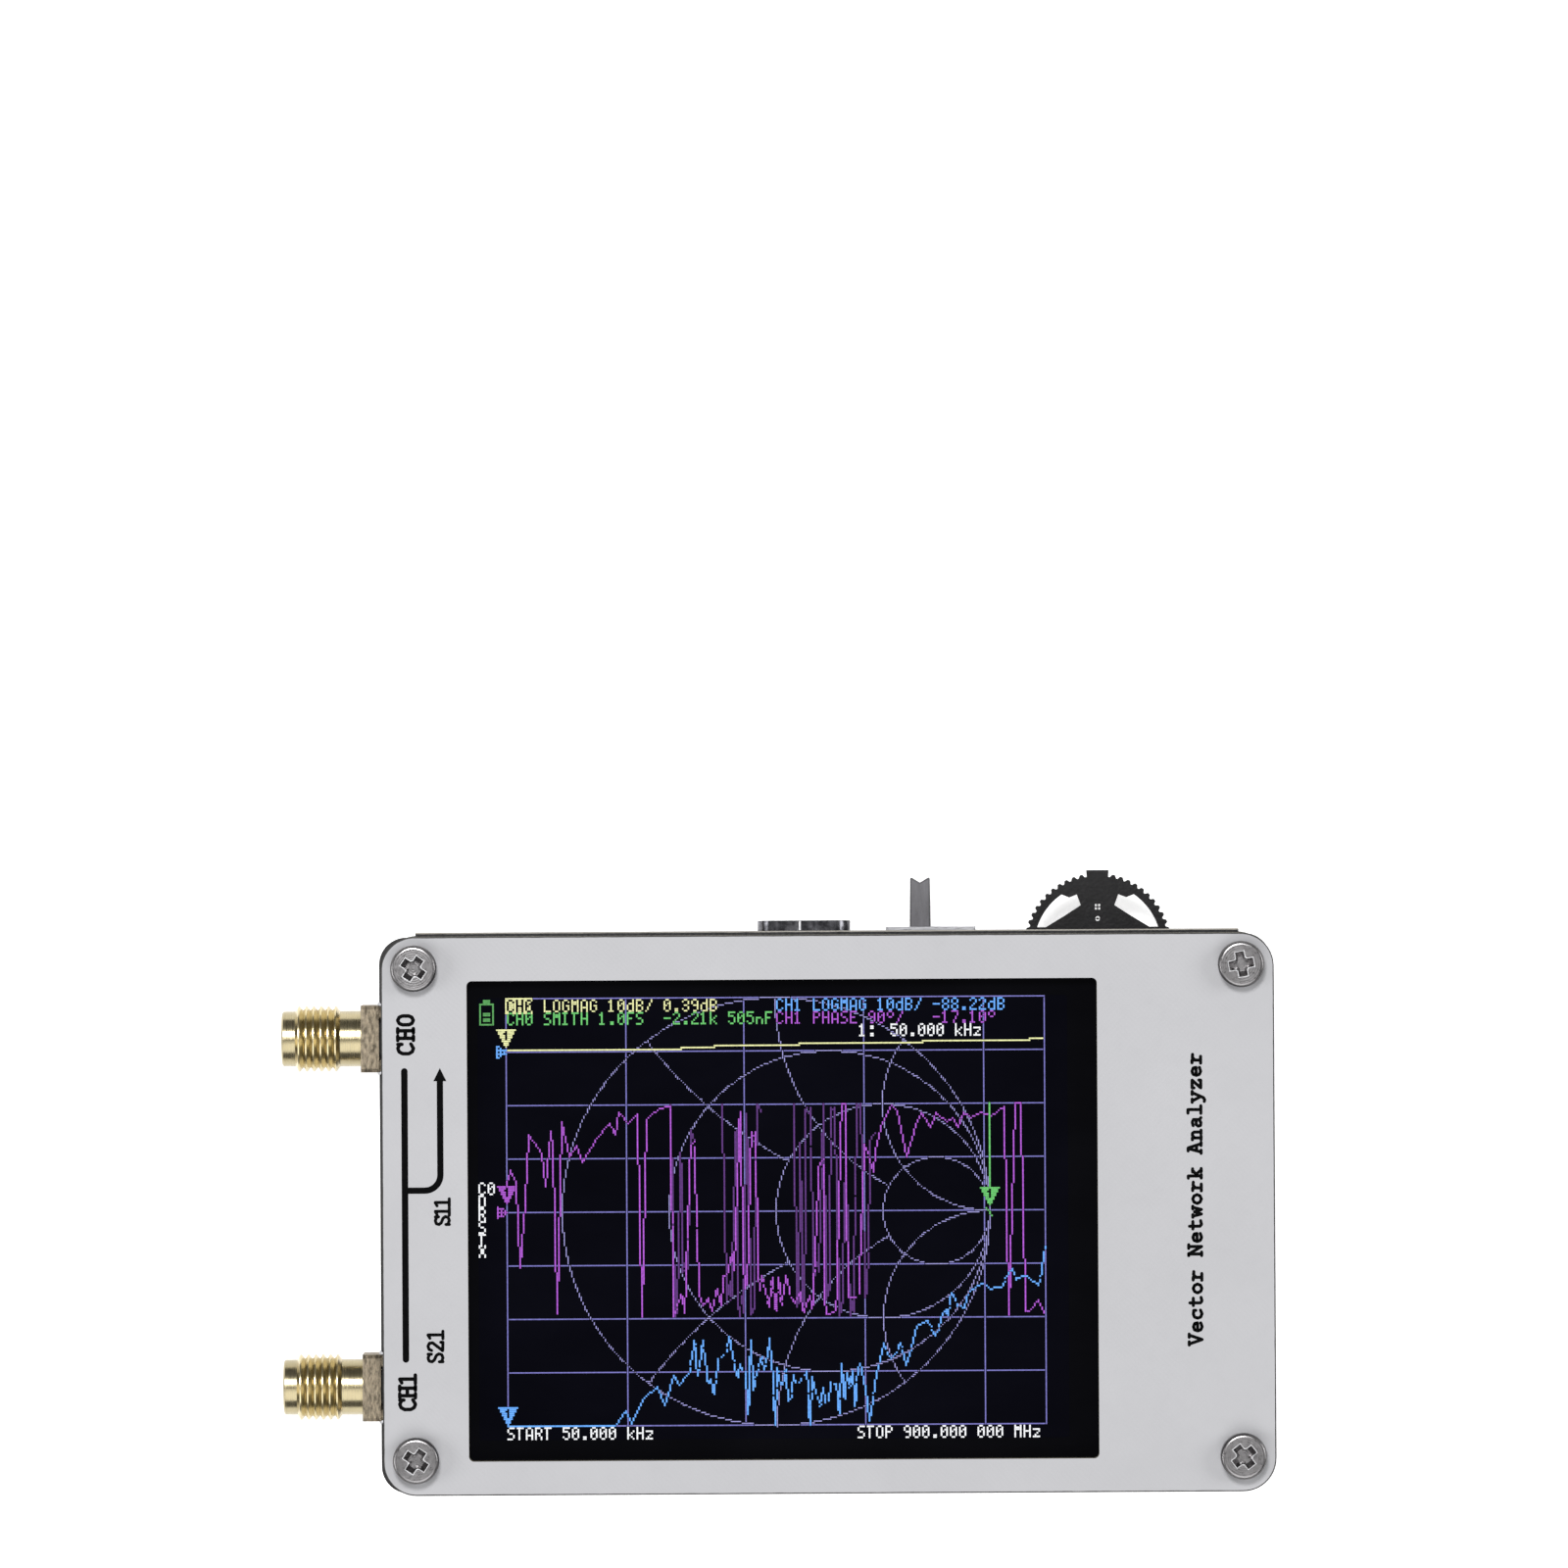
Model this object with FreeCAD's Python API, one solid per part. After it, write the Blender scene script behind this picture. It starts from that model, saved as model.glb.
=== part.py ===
"""Handheld two-port vector network analyzer, built as an open-sided stack of boards.

Millimetres, +Z out of the screen, +Y towards the edge with the USB socket and +X away from the
coaxial ports. Every piece is drawn about the middle of the front panel, with Z up from the table,
and moved to the frame of the whole object when it is written.
"""

import FreeCAD, Part
import math
import os

V = FreeCAD.Vector

# ---------------------------------------------------------------- whole object
PANEL_X, PANEL_Y, PANEL_T = 85.5, 53.5, 1.6      # front and rear panels
PANEL_R = 3.2                                    # corner radius
MID_Y = 0.2                                      # middle of the fasteners and of the ports
SCREW_X, SCREW_Y = 39.6, 23.55                   # corner fasteners, each side of it
HEAD_H = 1.6                                     # pan head height
REAR_GAP, BOARD_T, FRONT_GAP = 3.6, 1.2, 3.0

Z_REAR = HEAD_H                                  # outer face of the rear panel
Z_REAR_IN = Z_REAR + PANEL_T
Z_BOARD = Z_REAR_IN + REAR_GAP                   # rear face of the main board
Z_BOARD_TOP = Z_BOARD + BOARD_T
Z_FRONT_IN = Z_BOARD_TOP + FRONT_GAP
Z_FRONT = Z_FRONT_IN + PANEL_T                   # outer face of the front panel
EDGE_X, EDGE_Y = PANEL_X / 2, PANEL_Y / 2

# ---------------------------------------------------------------- display
WINDOW = (-34.55, -23.50, 25.80, 22.50)          # x0, y0, x1, y1 of the panel opening
WINDOW_R = 0.5
GLASS = (-36.7, -25.65, 32.5, 24.35)             # outline of the display stack
TAPE_T, BACKLIGHT_T, CELL_T, TOUCH_T = 0.4, 1.0, 0.75, 0.75
LAYER_GAP = 0.02

# ---------------------------------------------------------------- coaxial ports
PORT_YS = (MID_Y + 16.75, MID_Y - 16.75)
PORT_LEN = 9.7                                   # past the panel edge
BOARD_PROUD_X, BOARD_PROUD_Y = 0.3, 0.35
FLANGE, FLANGE_T, FLANGE_BEVEL = 6.4, 1.75, 0.35
BARREL_R, THREAD_R, ROOT_R, PILOT_R = 2.68, 3.175, 2.75, 2.66
THREAD_PITCH, THREAD_TURNS, THREAD_START = 0.7056, 6, 1.3
CREST = 0.12                                     # flat on each crest
SOCKET_R, SOCKET_DEPTH = 2.30, 1.95
INSULATOR_R, CONTACT_R, TAIL_R = 2.08, 0.635, 0.38
CONTACT_BORE_R, CONTACT_BORE_DEPTH = 0.47, 2.6
LEG, LEG_LEN, LEG_Y = 1.0, 4.0, 2.55
TAIL_LEN = 3.2

# ---------------------------------------------------------------- USB-C socket
USB_X, USB_W, USB_H, USB_LEN, USB_WALL = -2.2, 8.94, 3.16, 7.3, 0.3
USB_PROUD = 1.3

# ---------------------------------------------------------------- power switch
SW_X, SW_W, SW_D, SW_H, SW_WALL = 10.0, 8.6, 4.3, 3.3, 0.3
SW_PROUD = 0.65
LEVER_W, LEVER_H, LEVER_TIP, LEVER_NOTCH = 1.9, 1.5, 5.4, 0.5
LEVER_TRAVEL = 2.0
SLOT_W, SLOT_H = 4.3, 1.9

# ---------------------------------------------------------------- jog switch
JOG_X, JOG_Y = 26.1, 25.35                       # axis of the wheel
JOG_R, JOG_TOOTH, JOG_PITCH_DEG = 7.1, 0.28, 6.3
JOG_T = 1.7
JOG_POST_R, JOG_BORE_R = 0.8, 0.85
JOG_PAD_W, JOG_PAD_TOP = 2.13, 7.4
JOG_BASE_W, JOG_BASE_D, JOG_FLOOR, JOG_WALL = 11.0, 7.6, 0.5, 0.7
JOG_STROKE = 0.5

# ---------------------------------------------------------------- battery
BATTERY = (-8.0, -24.0, 34.0, 9.0)               # x0, y0, x1, y1
BATTERY_T, BATTERY_TAPE_T = 2.6, 0.2
LEAD_R = 0.45

# bounding box about the panel middle, which sets the origin below its middle
X_MIN, X_MAX = -(EDGE_X + PORT_LEN), EDGE_X
Y_MIN, Y_MAX = -EDGE_Y, JOG_Y + JOG_PAD_TOP
SHIFT = V(-(X_MIN + X_MAX) / 2, -(Y_MIN + Y_MAX) / 2, 0)


PAST = 1.0                                       # a cutter runs this far past what it opens
FIT = 0.02                                       # gap between pieces that touch in use


def box(x0, y0, z0, x1, y1, z1):
    return Part.makeBox(x1 - x0, y1 - y0, z1 - z0, V(x0, y0, z0))


def cylinder(x, y, z0, z1, r):
    return Part.makeCylinder(r, z1 - z0, V(x, y, z0))


def rounded_box(x0, y0, x1, y1, z0, z1, r):
    """A plate with its four upright edges rounded."""
    plate = box(x0, y0, z0, x1, y1, z1)
    upright = [e for e in plate.Edges if abs(e.Vertexes[0].Z - e.Vertexes[1].Z) > (z1 - z0) / 2]
    return plate.makeFillet(r, upright)


def extrude(points, z0, z1):
    """A prism on a closed outline of (x, y) points."""
    ring = [V(x, y, z0) for x, y in points]
    return Part.Face(Part.makePolygon(ring + ring[:1])).extrude(V(0, 0, z1 - z0))


def corners():
    return [(sx * SCREW_X, MID_Y + sy * SCREW_Y) for sx in (-1, 1) for sy in (-1, 1)]


def group(solids):
    return Part.makeCompound(solids)


def write(name, shape):
    shape = shape.copy()
    shape.translate(SHIFT)
    shape.exportStep(os.path.join("parts", name + ".step"))


# ================================================================ panels and fasteners
HOLE_R = 1.4
SHANK_R, THREADED_R = 1.22, 1.25


def panel(z0, z1):
    plate = rounded_box(-EDGE_X, -EDGE_Y, EDGE_X, EDGE_Y, z0, z1, PANEL_R)
    holes = [cylinder(x, y, z0 - PAST, z1 + PAST, HOLE_R) for x, y in corners()]
    return plate.cut(holes)


def front_panel():
    x0, y0, x1, y1 = WINDOW
    opening = rounded_box(x0, y0, x1, y1, Z_FRONT_IN - PAST, Z_FRONT + PAST, WINDOW_R)
    return panel(Z_FRONT_IN, Z_FRONT).cut(opening)


def rear_panel():
    return panel(Z_REAR, Z_REAR_IN)


def main_board():
    """Proud of the panels along the port and USB edges, with its corners cut back."""
    back = 3.2
    plate = box(-EDGE_X - BOARD_PROUD_X, -EDGE_Y, Z_BOARD,
                EDGE_X - 0.1, EDGE_Y + BOARD_PROUD_Y, Z_BOARD_TOP)
    cuts = [box(EDGE_X - back, EDGE_Y - 0.1, Z_BOARD - 1, EDGE_X + 1, EDGE_Y + 1, Z_BOARD_TOP + 1),
            box(-EDGE_X - 1, EDGE_Y - 0.1, Z_BOARD - 1, -EDGE_X + back, EDGE_Y + 1, Z_BOARD_TOP + 1)]
    cuts += [cylinder(x, y, Z_BOARD - 1, Z_BOARD_TOP + 1, HOLE_R) for x, y in corners()]
    plate = plate.cut(cuts)
    corner = [e for e in plate.Edges
              if abs(e.Vertexes[0].Z - e.Vertexes[-1].Z) > BOARD_T / 2
              and abs(e.Vertexes[0].X) > EDGE_X - 1 and abs(e.Vertexes[0].Y) > EDGE_Y - 1]
    return plate.makeFillet(2.6, corner)


def cross(z, half_w, reach, ease=0.15):
    """Corners of a cross at height z, with its inner corners eased."""
    arm = [(reach, -half_w), (reach, half_w), (half_w + ease, half_w), (half_w, half_w + ease)]
    ring = []
    for quarter in range(4):
        a = math.radians(90 * quarter)
        ring += [V(px * math.cos(a) - py * math.sin(a), px * math.sin(a) + py * math.cos(a), z)
                 for px, py in arm]
    return ring


def tapered(lower, upper):
    """A solid between two outlines with the same number of corners and parallel sides."""
    rings = [lower, upper] + [[lower[i - 1], lower[i], upper[i], upper[i - 1]] for i in range(len(lower))]
    shell = Part.Shell([Part.Face(Part.makePolygon(ring + ring[:1])) for ring in rings])
    return Part.Solid(shell)


def screw(x, y, z_seat, way, turn):
    """Pan head with a tapered cross recess; way is +1 for a head facing the front."""
    head_r, head_round, shank_len, tip_len = 2.22, 0.35, 3.7, 0.3
    floor_d, floor_half_w, floor_r = 0.9, 0.24, 0.72
    bevel_d, wall_half_w, wall_r = 0.1, 0.36, 1.12
    head = Part.makeCylinder(head_r, HEAD_H)
    head = head.makeFillet(head_round, [e for e in head.Edges if e.BoundBox.ZMin > HEAD_H / 2])
    shank = Part.makeCylinder(SHANK_R, shank_len, V(0, 0, -shank_len))
    tip = Part.makeCone(SHANK_R - tip_len, SHANK_R, tip_len, V(0, 0, -shank_len - tip_len))
    floor = cross(HEAD_H - floor_d, floor_half_w, floor_r)
    wall = cross(HEAD_H - bevel_d, wall_half_w, wall_r)
    mouth = cross(HEAD_H + bevel_d, wall_half_w + 2 * bevel_d, wall_r + 2 * bevel_d)
    solid = head.fuse([shank, tip]).removeSplitter()
    for cutter in (tapered(floor, wall), tapered(wall, mouth)):
        solid = solid.cut(cutter if cutter.Volume > 0 else cutter.reversed())
    solid.rotate(V(0, 0, 0), V(0, 0, 1), turn)
    if way < 0:
        solid.rotate(V(0, 0, 0), V(1, 0, 0), 180)
    solid.translate(V(x, y, z_seat))
    return solid


def screws(z_seat, way):
    turns = (57, 56, 38, 10)
    return group([screw(x, y, z_seat, way, t) for (x, y), t in zip(corners(), turns)])


def hexagon(x, y, z0, z1, across_flats):
    r = across_flats / math.sqrt(3)
    points = [(x + r * math.cos(math.radians(a)), y + r * math.sin(math.radians(a)))
              for a in range(30, 390, 60)]
    return extrude(points, z0, z1)


STUD_LEN = 1.1                                   # into the rear standoff
STANDOFF_AF = 4.5                                # across the flats


def front_standoffs():
    solids = []
    for x, y in corners():
        body = hexagon(x, y, Z_BOARD_TOP, Z_FRONT_IN, STANDOFF_AF)
        stud = cylinder(x, y, Z_BOARD - STUD_LEN, Z_BOARD_TOP + 0.1, SHANK_R)
        bore = cylinder(x, y, Z_BOARD_TOP + 0.2, Z_FRONT_IN + PAST, THREADED_R)
        solids.append(body.fuse(stud).removeSplitter().cut(bore))
    return group(solids)


def rear_standoffs():
    return group([hexagon(x, y, Z_REAR_IN, Z_BOARD, STANDOFF_AF)
                  .cut(cylinder(x, y, Z_REAR_IN - PAST, Z_BOARD + PAST, THREADED_R))
                  for x, y in corners()])


# ================================================================ display
Z_TAPE = Z_BOARD_TOP
Z_BACKLIGHT = Z_TAPE + TAPE_T
Z_CELL = Z_BACKLIGHT + BACKLIGHT_T + LAYER_GAP
Z_TOUCH = Z_CELL + CELL_T + LAYER_GAP


def lcd_tape():
    """Foam strips along the two long sides and the port side of the backlight."""
    x0, y0, x1, y1 = GLASS
    strip = 4.0
    ring = box(x0 + 0.5, y0 + 0.5, Z_TAPE, x1 - 6, y1 - 0.5, Z_BACKLIGHT)
    return ring.cut(box(x0 + 0.5 + strip, y0 + 0.5 + strip, Z_TAPE - 1,
                        x1, y1 - 0.5 - strip, Z_BACKLIGHT + 1))


def lcd_backlight():
    x0, y0, x1, y1 = GLASS
    return rounded_box(x0, y0, x1, y1, Z_BACKLIGHT, Z_BACKLIGHT + BACKLIGHT_T, 0.4)


def lcd_cell():
    x0, y0, x1, y1 = GLASS
    return box(x0 + 0.3, y0 + 0.3, Z_CELL, x1 - 0.3, y1 - 0.3, Z_CELL + CELL_T)


def touch_panel():
    x0, y0, x1, y1 = GLASS
    return rounded_box(x0, y0, x1, y1, Z_TOUCH, Z_TOUCH + TOUCH_T, 0.5)


def lcd_flex():
    """Leaves the connector edge of the cell and drops to the socket on the board."""
    t, half_w, z_in = 0.15, 8.0, Z_BOARD_TOP + 0.45
    x_edge, x_bend, x_socket = GLASS[2] - 0.28, GLASS[2] + 1.2, GLASS[2] + 3.4
    z_out = Z_CELL + 0.3
    path = [(x_edge, z_out), (x_bend - 0.5, z_out), (x_bend + 0.5, z_in), (x_socket, z_in)]
    upper = [V(x, -half_w, z + t) for x, z in path]
    lower = [V(x, -half_w, z) for x, z in reversed(path)]
    ring = upper + lower
    return Part.Face(Part.makePolygon(ring + ring[:1])).extrude(V(0, 2 * half_w, 0))


def lcd_connector():
    """Low insertion-force socket with a slot that takes the flex."""
    x0, depth, half_w, h = GLASS[2] + 1.95, 4.2, 9.4, 1.0
    slot_half_w, slot_low, slot_high, slot_depth = 8.1, 0.40, 0.65, 2.2
    groove_x, groove_w, groove_d, groove_end = 2.9, 0.2, 0.2, 0.9
    z_top = Z_BOARD_TOP + h
    body = box(x0, -half_w, Z_BOARD_TOP, x0 + depth, half_w, z_top)
    slot = box(x0 - PAST, -slot_half_w, Z_BOARD_TOP + slot_low,
               x0 + slot_depth, slot_half_w, Z_BOARD_TOP + slot_high)
    groove = box(x0 + groove_x, groove_end - half_w, z_top - groove_d,
                 x0 + groove_x + groove_w, half_w - groove_end, z_top + PAST)
    return body.cut([slot, groove])


# ================================================================ coaxial ports
PORT_Z = Z_BOARD - TAIL_R                        # the tail lies on the rear face of the board
PORT_SEAT = -EDGE_X - BOARD_PROUD_X              # flange face against the board edge
PORT_TIP = -EDGE_X - PORT_LEN
THREAD_END = THREAD_START + THREAD_TURNS * THREAD_PITCH


def lathe(points, y):
    """A solid turned about a port axis from (distance from the tip, radius) points."""
    ring = [V(PORT_TIP + a, y, PORT_Z + r) for a, r in points]
    face = Part.Face(Part.makePolygon(ring + ring[:1]))
    return face.revolve(V(PORT_TIP, y, PORT_Z), V(1, 0, 0), 360)


def along(y, start, end, r):
    """A cylinder on a port axis between two distances from the tip."""
    return Part.makeCylinder(r, end - start, V(PORT_TIP + start, y, PORT_Z), V(1, 0, 0))


def port_shell(y):
    reach = PORT_SEAT - PORT_TIP                 # tip to board edge
    chamfer, root_gap, flank = 0.15, 0.06, (THREAD_PITCH - CREST) / 2
    outline = [(0, 0), (0, PILOT_R - chamfer), (chamfer, PILOT_R), (THREAD_START, PILOT_R)]
    for turn in range(THREAD_TURNS):
        a = THREAD_START + turn * THREAD_PITCH
        outline += [(a + root_gap, ROOT_R), (a + flank, THREAD_R), (a + flank + CREST, THREAD_R)]
    runout, bury = 0.1, 0.5                      # end of the thread, and inside the flange
    outline += [(THREAD_END, ROOT_R), (THREAD_END + runout, BARREL_R),
                (reach - bury, BARREL_R), (reach - bury, 0)]
    half = FLANGE / 2
    flange = box(PORT_SEAT - FLANGE_T, y - half, PORT_Z - half, PORT_SEAT, y + half, PORT_Z + half)
    edges = [e for e in flange.Edges if abs(e.Vertexes[0].X - e.Vertexes[1].X) > FLANGE_T / 2]
    solid = lathe(outline, y).fuse(flange.makeChamfer(FLANGE_BEVEL, edges))
    legs = []
    for side in (-1, 1):
        y0 = y + side * LEG_Y - LEG / 2
        for z in (Z_BOARD - LEG, Z_BOARD_TOP):
            legs.append(box(PORT_SEAT - bury, y0, z, PORT_SEAT + LEG_LEN, y0 + LEG, z + LEG))
    solid = solid.fuse(legs)
    mouth_r, inner_r, mouth_len, mouth_lead = SOCKET_R + 0.2, SOCKET_R - 0.1, 0.3, 0.08
    mouth = Part.makeCone(mouth_r, inner_r, mouth_len, V(PORT_TIP - mouth_lead, y, PORT_Z), V(1, 0, 0))
    return solid.cut([along(y, -PAST, SOCKET_DEPTH, SOCKET_R), mouth,
                      along(y, 0, reach, INSULATOR_R + FIT)])


def port_insulator(y):
    reach = PORT_SEAT - PORT_TIP
    return along(y, SOCKET_DEPTH, reach, INSULATOR_R).cut(along(y, 0, reach + PAST, CONTACT_R + FIT / 2))


def port_contact(y):
    """Slotted socket at the mating end and a thin tail that lies on the board."""
    start, end, slit, slit_len = SOCKET_DEPTH, PORT_SEAT - PORT_TIP, 0.16, 1.8
    tail = along(y, end - TAIL_R, end + TAIL_LEN, TAIL_R)
    bore = along(y, start - PAST, start + CONTACT_BORE_DEPTH, CONTACT_BORE_R)
    solid = along(y, start, end, CONTACT_R).fuse(tail).removeSplitter().cut(bore)
    tip = PORT_TIP + start
    half, wide = slit / 2, CONTACT_R + PAST
    slits = [box(tip - PAST, y - wide, PORT_Z - half, tip + slit_len, y + wide, PORT_Z + half),
             box(tip - PAST, y - half, PORT_Z - wide, tip + slit_len, y + half, PORT_Z + wide)]
    return solid.cut(slits)


# ================================================================ USB-C socket
USB_FRONT = EDGE_Y + USB_PROUD
USB_BACK = USB_FRONT - USB_LEN
USB_Z = Z_BOARD - USB_H / 2                      # middle of the oval


def oval(x, half_w, half_h, y0, y1, z):
    """A bar along Y with a stadium section."""
    flat = half_w - half_h
    bar = box(x - flat, y0, z - half_h, x + flat, y1, z + half_h)
    ends = [Part.makeCylinder(half_h, y1 - y0, V(x + s * flat, y0, z), V(0, 1, 0)) for s in (-1, 1)]
    return bar.fuse(ends).removeSplitter()


def usb_shell():
    outer = oval(USB_X, USB_W / 2, USB_H / 2, USB_BACK, USB_FRONT, USB_Z)
    inner = oval(USB_X, USB_W / 2 - USB_WALL, USB_H / 2 - USB_WALL,
                 USB_BACK + USB_WALL, USB_FRONT + PAST, USB_Z)
    shell = outer.cut(inner)
    foot_in, foot_out, foot_len, foot_back, foot_front = 0.25, 0.0, 1.0, 1.2, 3.0
    feet = []
    for side in (-1, 1):
        for y in (USB_BACK + foot_back, USB_FRONT - foot_front):
            x0, x1 = sorted((USB_X + side * (USB_W / 2 - foot_in), USB_X + side * (USB_W / 2 - foot_out)))
            feet.append(box(x0, y - foot_len / 2, USB_Z, x1, y + foot_len / 2, Z_BOARD - FIT / 2))
    spring_x, spring_w, spring_y0, spring_y1 = 1.9, 0.9, 4.6, 3.2
    latches = []
    for side in (-1, 1):
        x = USB_X + side * spring_x
        latches.append(box(x - spring_w / 2, USB_FRONT - spring_y0, USB_Z - USB_H,
                           x + spring_w / 2, USB_FRONT - spring_y1, USB_Z))
    return shell.fuse(feet).removeSplitter().cut(latches)


TONGUE_HALF_W, TONGUE_T, TONGUE_SHY = 3.35, 0.7, 0.9     # the blade stops short of the mouth


def usb_tongue():
    block_len, step = 2.0, 0.5
    blade = box(USB_X - TONGUE_HALF_W, USB_BACK + block_len - step, USB_Z - TONGUE_T / 2,
                USB_X + TONGUE_HALF_W, USB_FRONT - TONGUE_SHY, USB_Z + TONGUE_T / 2)
    half_w, half_h = USB_W / 2 - USB_WALL - FIT, USB_H / 2 - USB_WALL - FIT
    block = oval(USB_X, half_w, half_h, USB_BACK + USB_WALL + FIT, USB_BACK + block_len, USB_Z)
    return block.fuse(blade).removeSplitter()


def usb_contacts():
    """Two rows of strips lying on the faces of the tongue."""
    count, pitch, half_w, t, back, front = 12, 0.5, 0.13, 0.05, 2.05, 1.3
    face = TONGUE_T / 2 + FIT / 2
    strips = []
    for i in range(count):
        x = USB_X + (i - (count - 1) / 2) * pitch
        for z0 in (USB_Z + face, USB_Z - face - t):
            strips.append(box(x - half_w, USB_BACK + back, z0, x + half_w, USB_FRONT - front, z0 + t))
    return group(strips)


# ================================================================ power switch
SW_FRONT = EDGE_Y + SW_PROUD
SW_BACK = SW_FRONT - SW_D
SW_Z0, SW_Z1 = Z_BOARD - SW_H, Z_BOARD
SW_MID_Z = (SW_Z0 + SW_Z1) / 2
SW_PLATE = 1.0                                   # insulating base, behind the slider


SW_SHY = 0.05                                    # case to board
PIN_PITCH, PIN_R, PIN_W = 2.0, 0.25, 0.4
LIP = 0.5                                        # side walls of the base


def rounded_y(x0, x1, y0, y1, z0, z1, r):
    """A block with the edges that run along Y rounded."""
    block = box(x0, y0, z0, x1, y1, z1)
    lengthwise = [e for e in block.Edges if abs(e.Vertexes[0].Y - e.Vertexes[1].Y) > (y1 - y0) / 2]
    return block.makeFillet(r, lengthwise)


def power_switch_case():
    """Folded metal cover with the lever slot in its front wall."""
    x0, x1, fold_r = SW_X - SW_W / 2, SW_X + SW_W / 2, 0.25
    z0, z1 = SW_Z0 + SW_SHY, SW_Z1 - SW_SHY
    shell = rounded_y(x0, x1, SW_BACK, SW_FRONT, z0, z1, fold_r)
    hollow = box(x0 + SW_WALL, SW_BACK - PAST, z0 + SW_WALL,
                 x1 - SW_WALL, SW_FRONT - SW_WALL, z1 - SW_WALL)
    slot = box(SW_X - SLOT_W / 2, SW_FRONT - PAST, SW_MID_Z - SLOT_H / 2,
               SW_X + SLOT_W / 2, SW_FRONT + PAST, SW_MID_Z + SLOT_H / 2)
    return shell.cut([hollow, slot])


def power_switch_base():
    x0, x1 = SW_X - SW_W / 2 + SW_WALL + FIT, SW_X + SW_W / 2 - SW_WALL - FIT
    inset = SW_WALL + SW_SHY + FIT
    z0, z1 = SW_Z0 + inset, SW_Z1 - inset
    lip_y0, lip_y1 = SW_BACK + SW_PLATE / 2, SW_FRONT - SW_WALL - SW_SHY
    plate = box(x0, SW_BACK + FIT, z0, x1, SW_BACK + SW_PLATE, z1)
    lips = [box(x0, lip_y0, z0, x0 + LIP, lip_y1, z1), box(x1 - LIP, lip_y0, z0, x1, lip_y1, z1)]
    starts = [V(SW_X + i * PIN_PITCH, SW_BACK - PAST, SW_MID_Z) for i in (-1, 0, 1)]
    pins = [Part.makeCylinder(PIN_R + FIT, SW_PLATE + 2 * PAST, start, V(0, 1, 0)) for start in starts]
    return plate.fuse(lips).removeSplitter().cut(pins)


def power_switch_pins():
    """Three terminals from the back of the base, bent to stand on the board."""
    half, stand, foot_len, foot_t, reach = PIN_W / 2, 0.3, 1.4, 0.25, 0.5
    z1 = Z_BOARD - FIT / 2
    pins = []
    for i in (-1, 0, 1):
        x = SW_X + i * PIN_PITCH
        inner = Part.makeCylinder(PIN_R, SW_PLATE + reach, V(x, SW_BACK - reach, SW_MID_Z), V(0, 1, 0))
        leg = box(x - half, SW_BACK - stand - PIN_W, SW_MID_Z - half, x + half, SW_BACK - stand, z1)
        foot = box(x - half, SW_BACK - foot_len, z1 - foot_t, x + half, SW_BACK - stand, z1)
        pins.append(inner.fuse([leg, foot]).removeSplitter())
    return group(pins)


def power_slider():
    """Carriage inside the case and the notched lever, at the port end of its travel."""
    x, tip, half = SW_X - LEVER_TRAVEL / 2, EDGE_Y + LEVER_TIP, LEVER_W / 2
    carriage_half, carriage_half_h, back_gap, front_gap = 2.3, 1.1, 0.3, 0.12
    root, root_in, root_out = half + 0.05, 1.5, 0.4      # thicker where it leaves the case
    horn = 0.12                                  # bevel on the two tips beside the notch
    carriage = box(x - carriage_half, SW_BACK + SW_PLATE + back_gap, SW_MID_Z - carriage_half_h,
                   x + carriage_half, SW_FRONT - SW_WALL - front_gap, SW_MID_Z + carriage_half_h)
    right = [(root, SW_FRONT - root_in), (root, SW_FRONT + root_out), (half, tip - horn),
             (half - horn, tip)]
    outline = [(x + dx, y) for dx, y in right] + [(x, tip - LEVER_NOTCH)]
    outline += [(x - dx, y) for dx, y in reversed(right)]
    lever = extrude(outline, SW_MID_Z - LEVER_H / 2, SW_MID_Z + LEVER_H / 2)
    return carriage.fuse(lever).removeSplitter()


# ================================================================ jog switch
JOG_FRONT = EDGE_Y + 0.25                        # outer edge of the base
JOG_BACK = JOG_FRONT - JOG_BASE_D
JOG_Z1 = Z_BOARD - 0.02
JOG_CEIL = JOG_Z1 - JOG_FLOOR                    # inner face of the base
JOG_Z0 = Z_REAR_IN + 0.15                        # outer face of the cover
COVER_T = 0.2
PLATE_T = 0.5                                    # carriage plate
WHEEL_Z1 = JOG_CEIL - PLATE_T - 0.1
WHEEL_Z0 = WHEEL_Z1 - JOG_T


def jog_base():
    """Channel open towards the user, with side walls that guide the carriage."""
    half, sweep_gap, sweep_lift, keep_y = JOG_BASE_W / 2, 0.55, 0.15, 3.0
    block = box(JOG_X - half, JOG_BACK, JOG_Z0 + COVER_T + FIT / 2, JOG_X + half, JOG_FRONT, JOG_Z1)
    channel = box(JOG_X - half + JOG_WALL, JOG_BACK + JOG_WALL, JOG_Z0 - PAST,
                  JOG_X + half - JOG_WALL, JOG_FRONT + PAST, JOG_CEIL)
    sweep = cylinder(JOG_X, JOG_Y, JOG_Z0 - PAST, WHEEL_Z1 + sweep_lift, JOG_R + sweep_gap)
    keep = box(JOG_X - half - PAST, JOG_BACK - PAST, JOG_Z0 - 2 * PAST,
               JOG_X + half + PAST, JOG_Y - keep_y, Z_BOARD)
    return block.cut([channel, sweep.cut(keep)])


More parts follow.
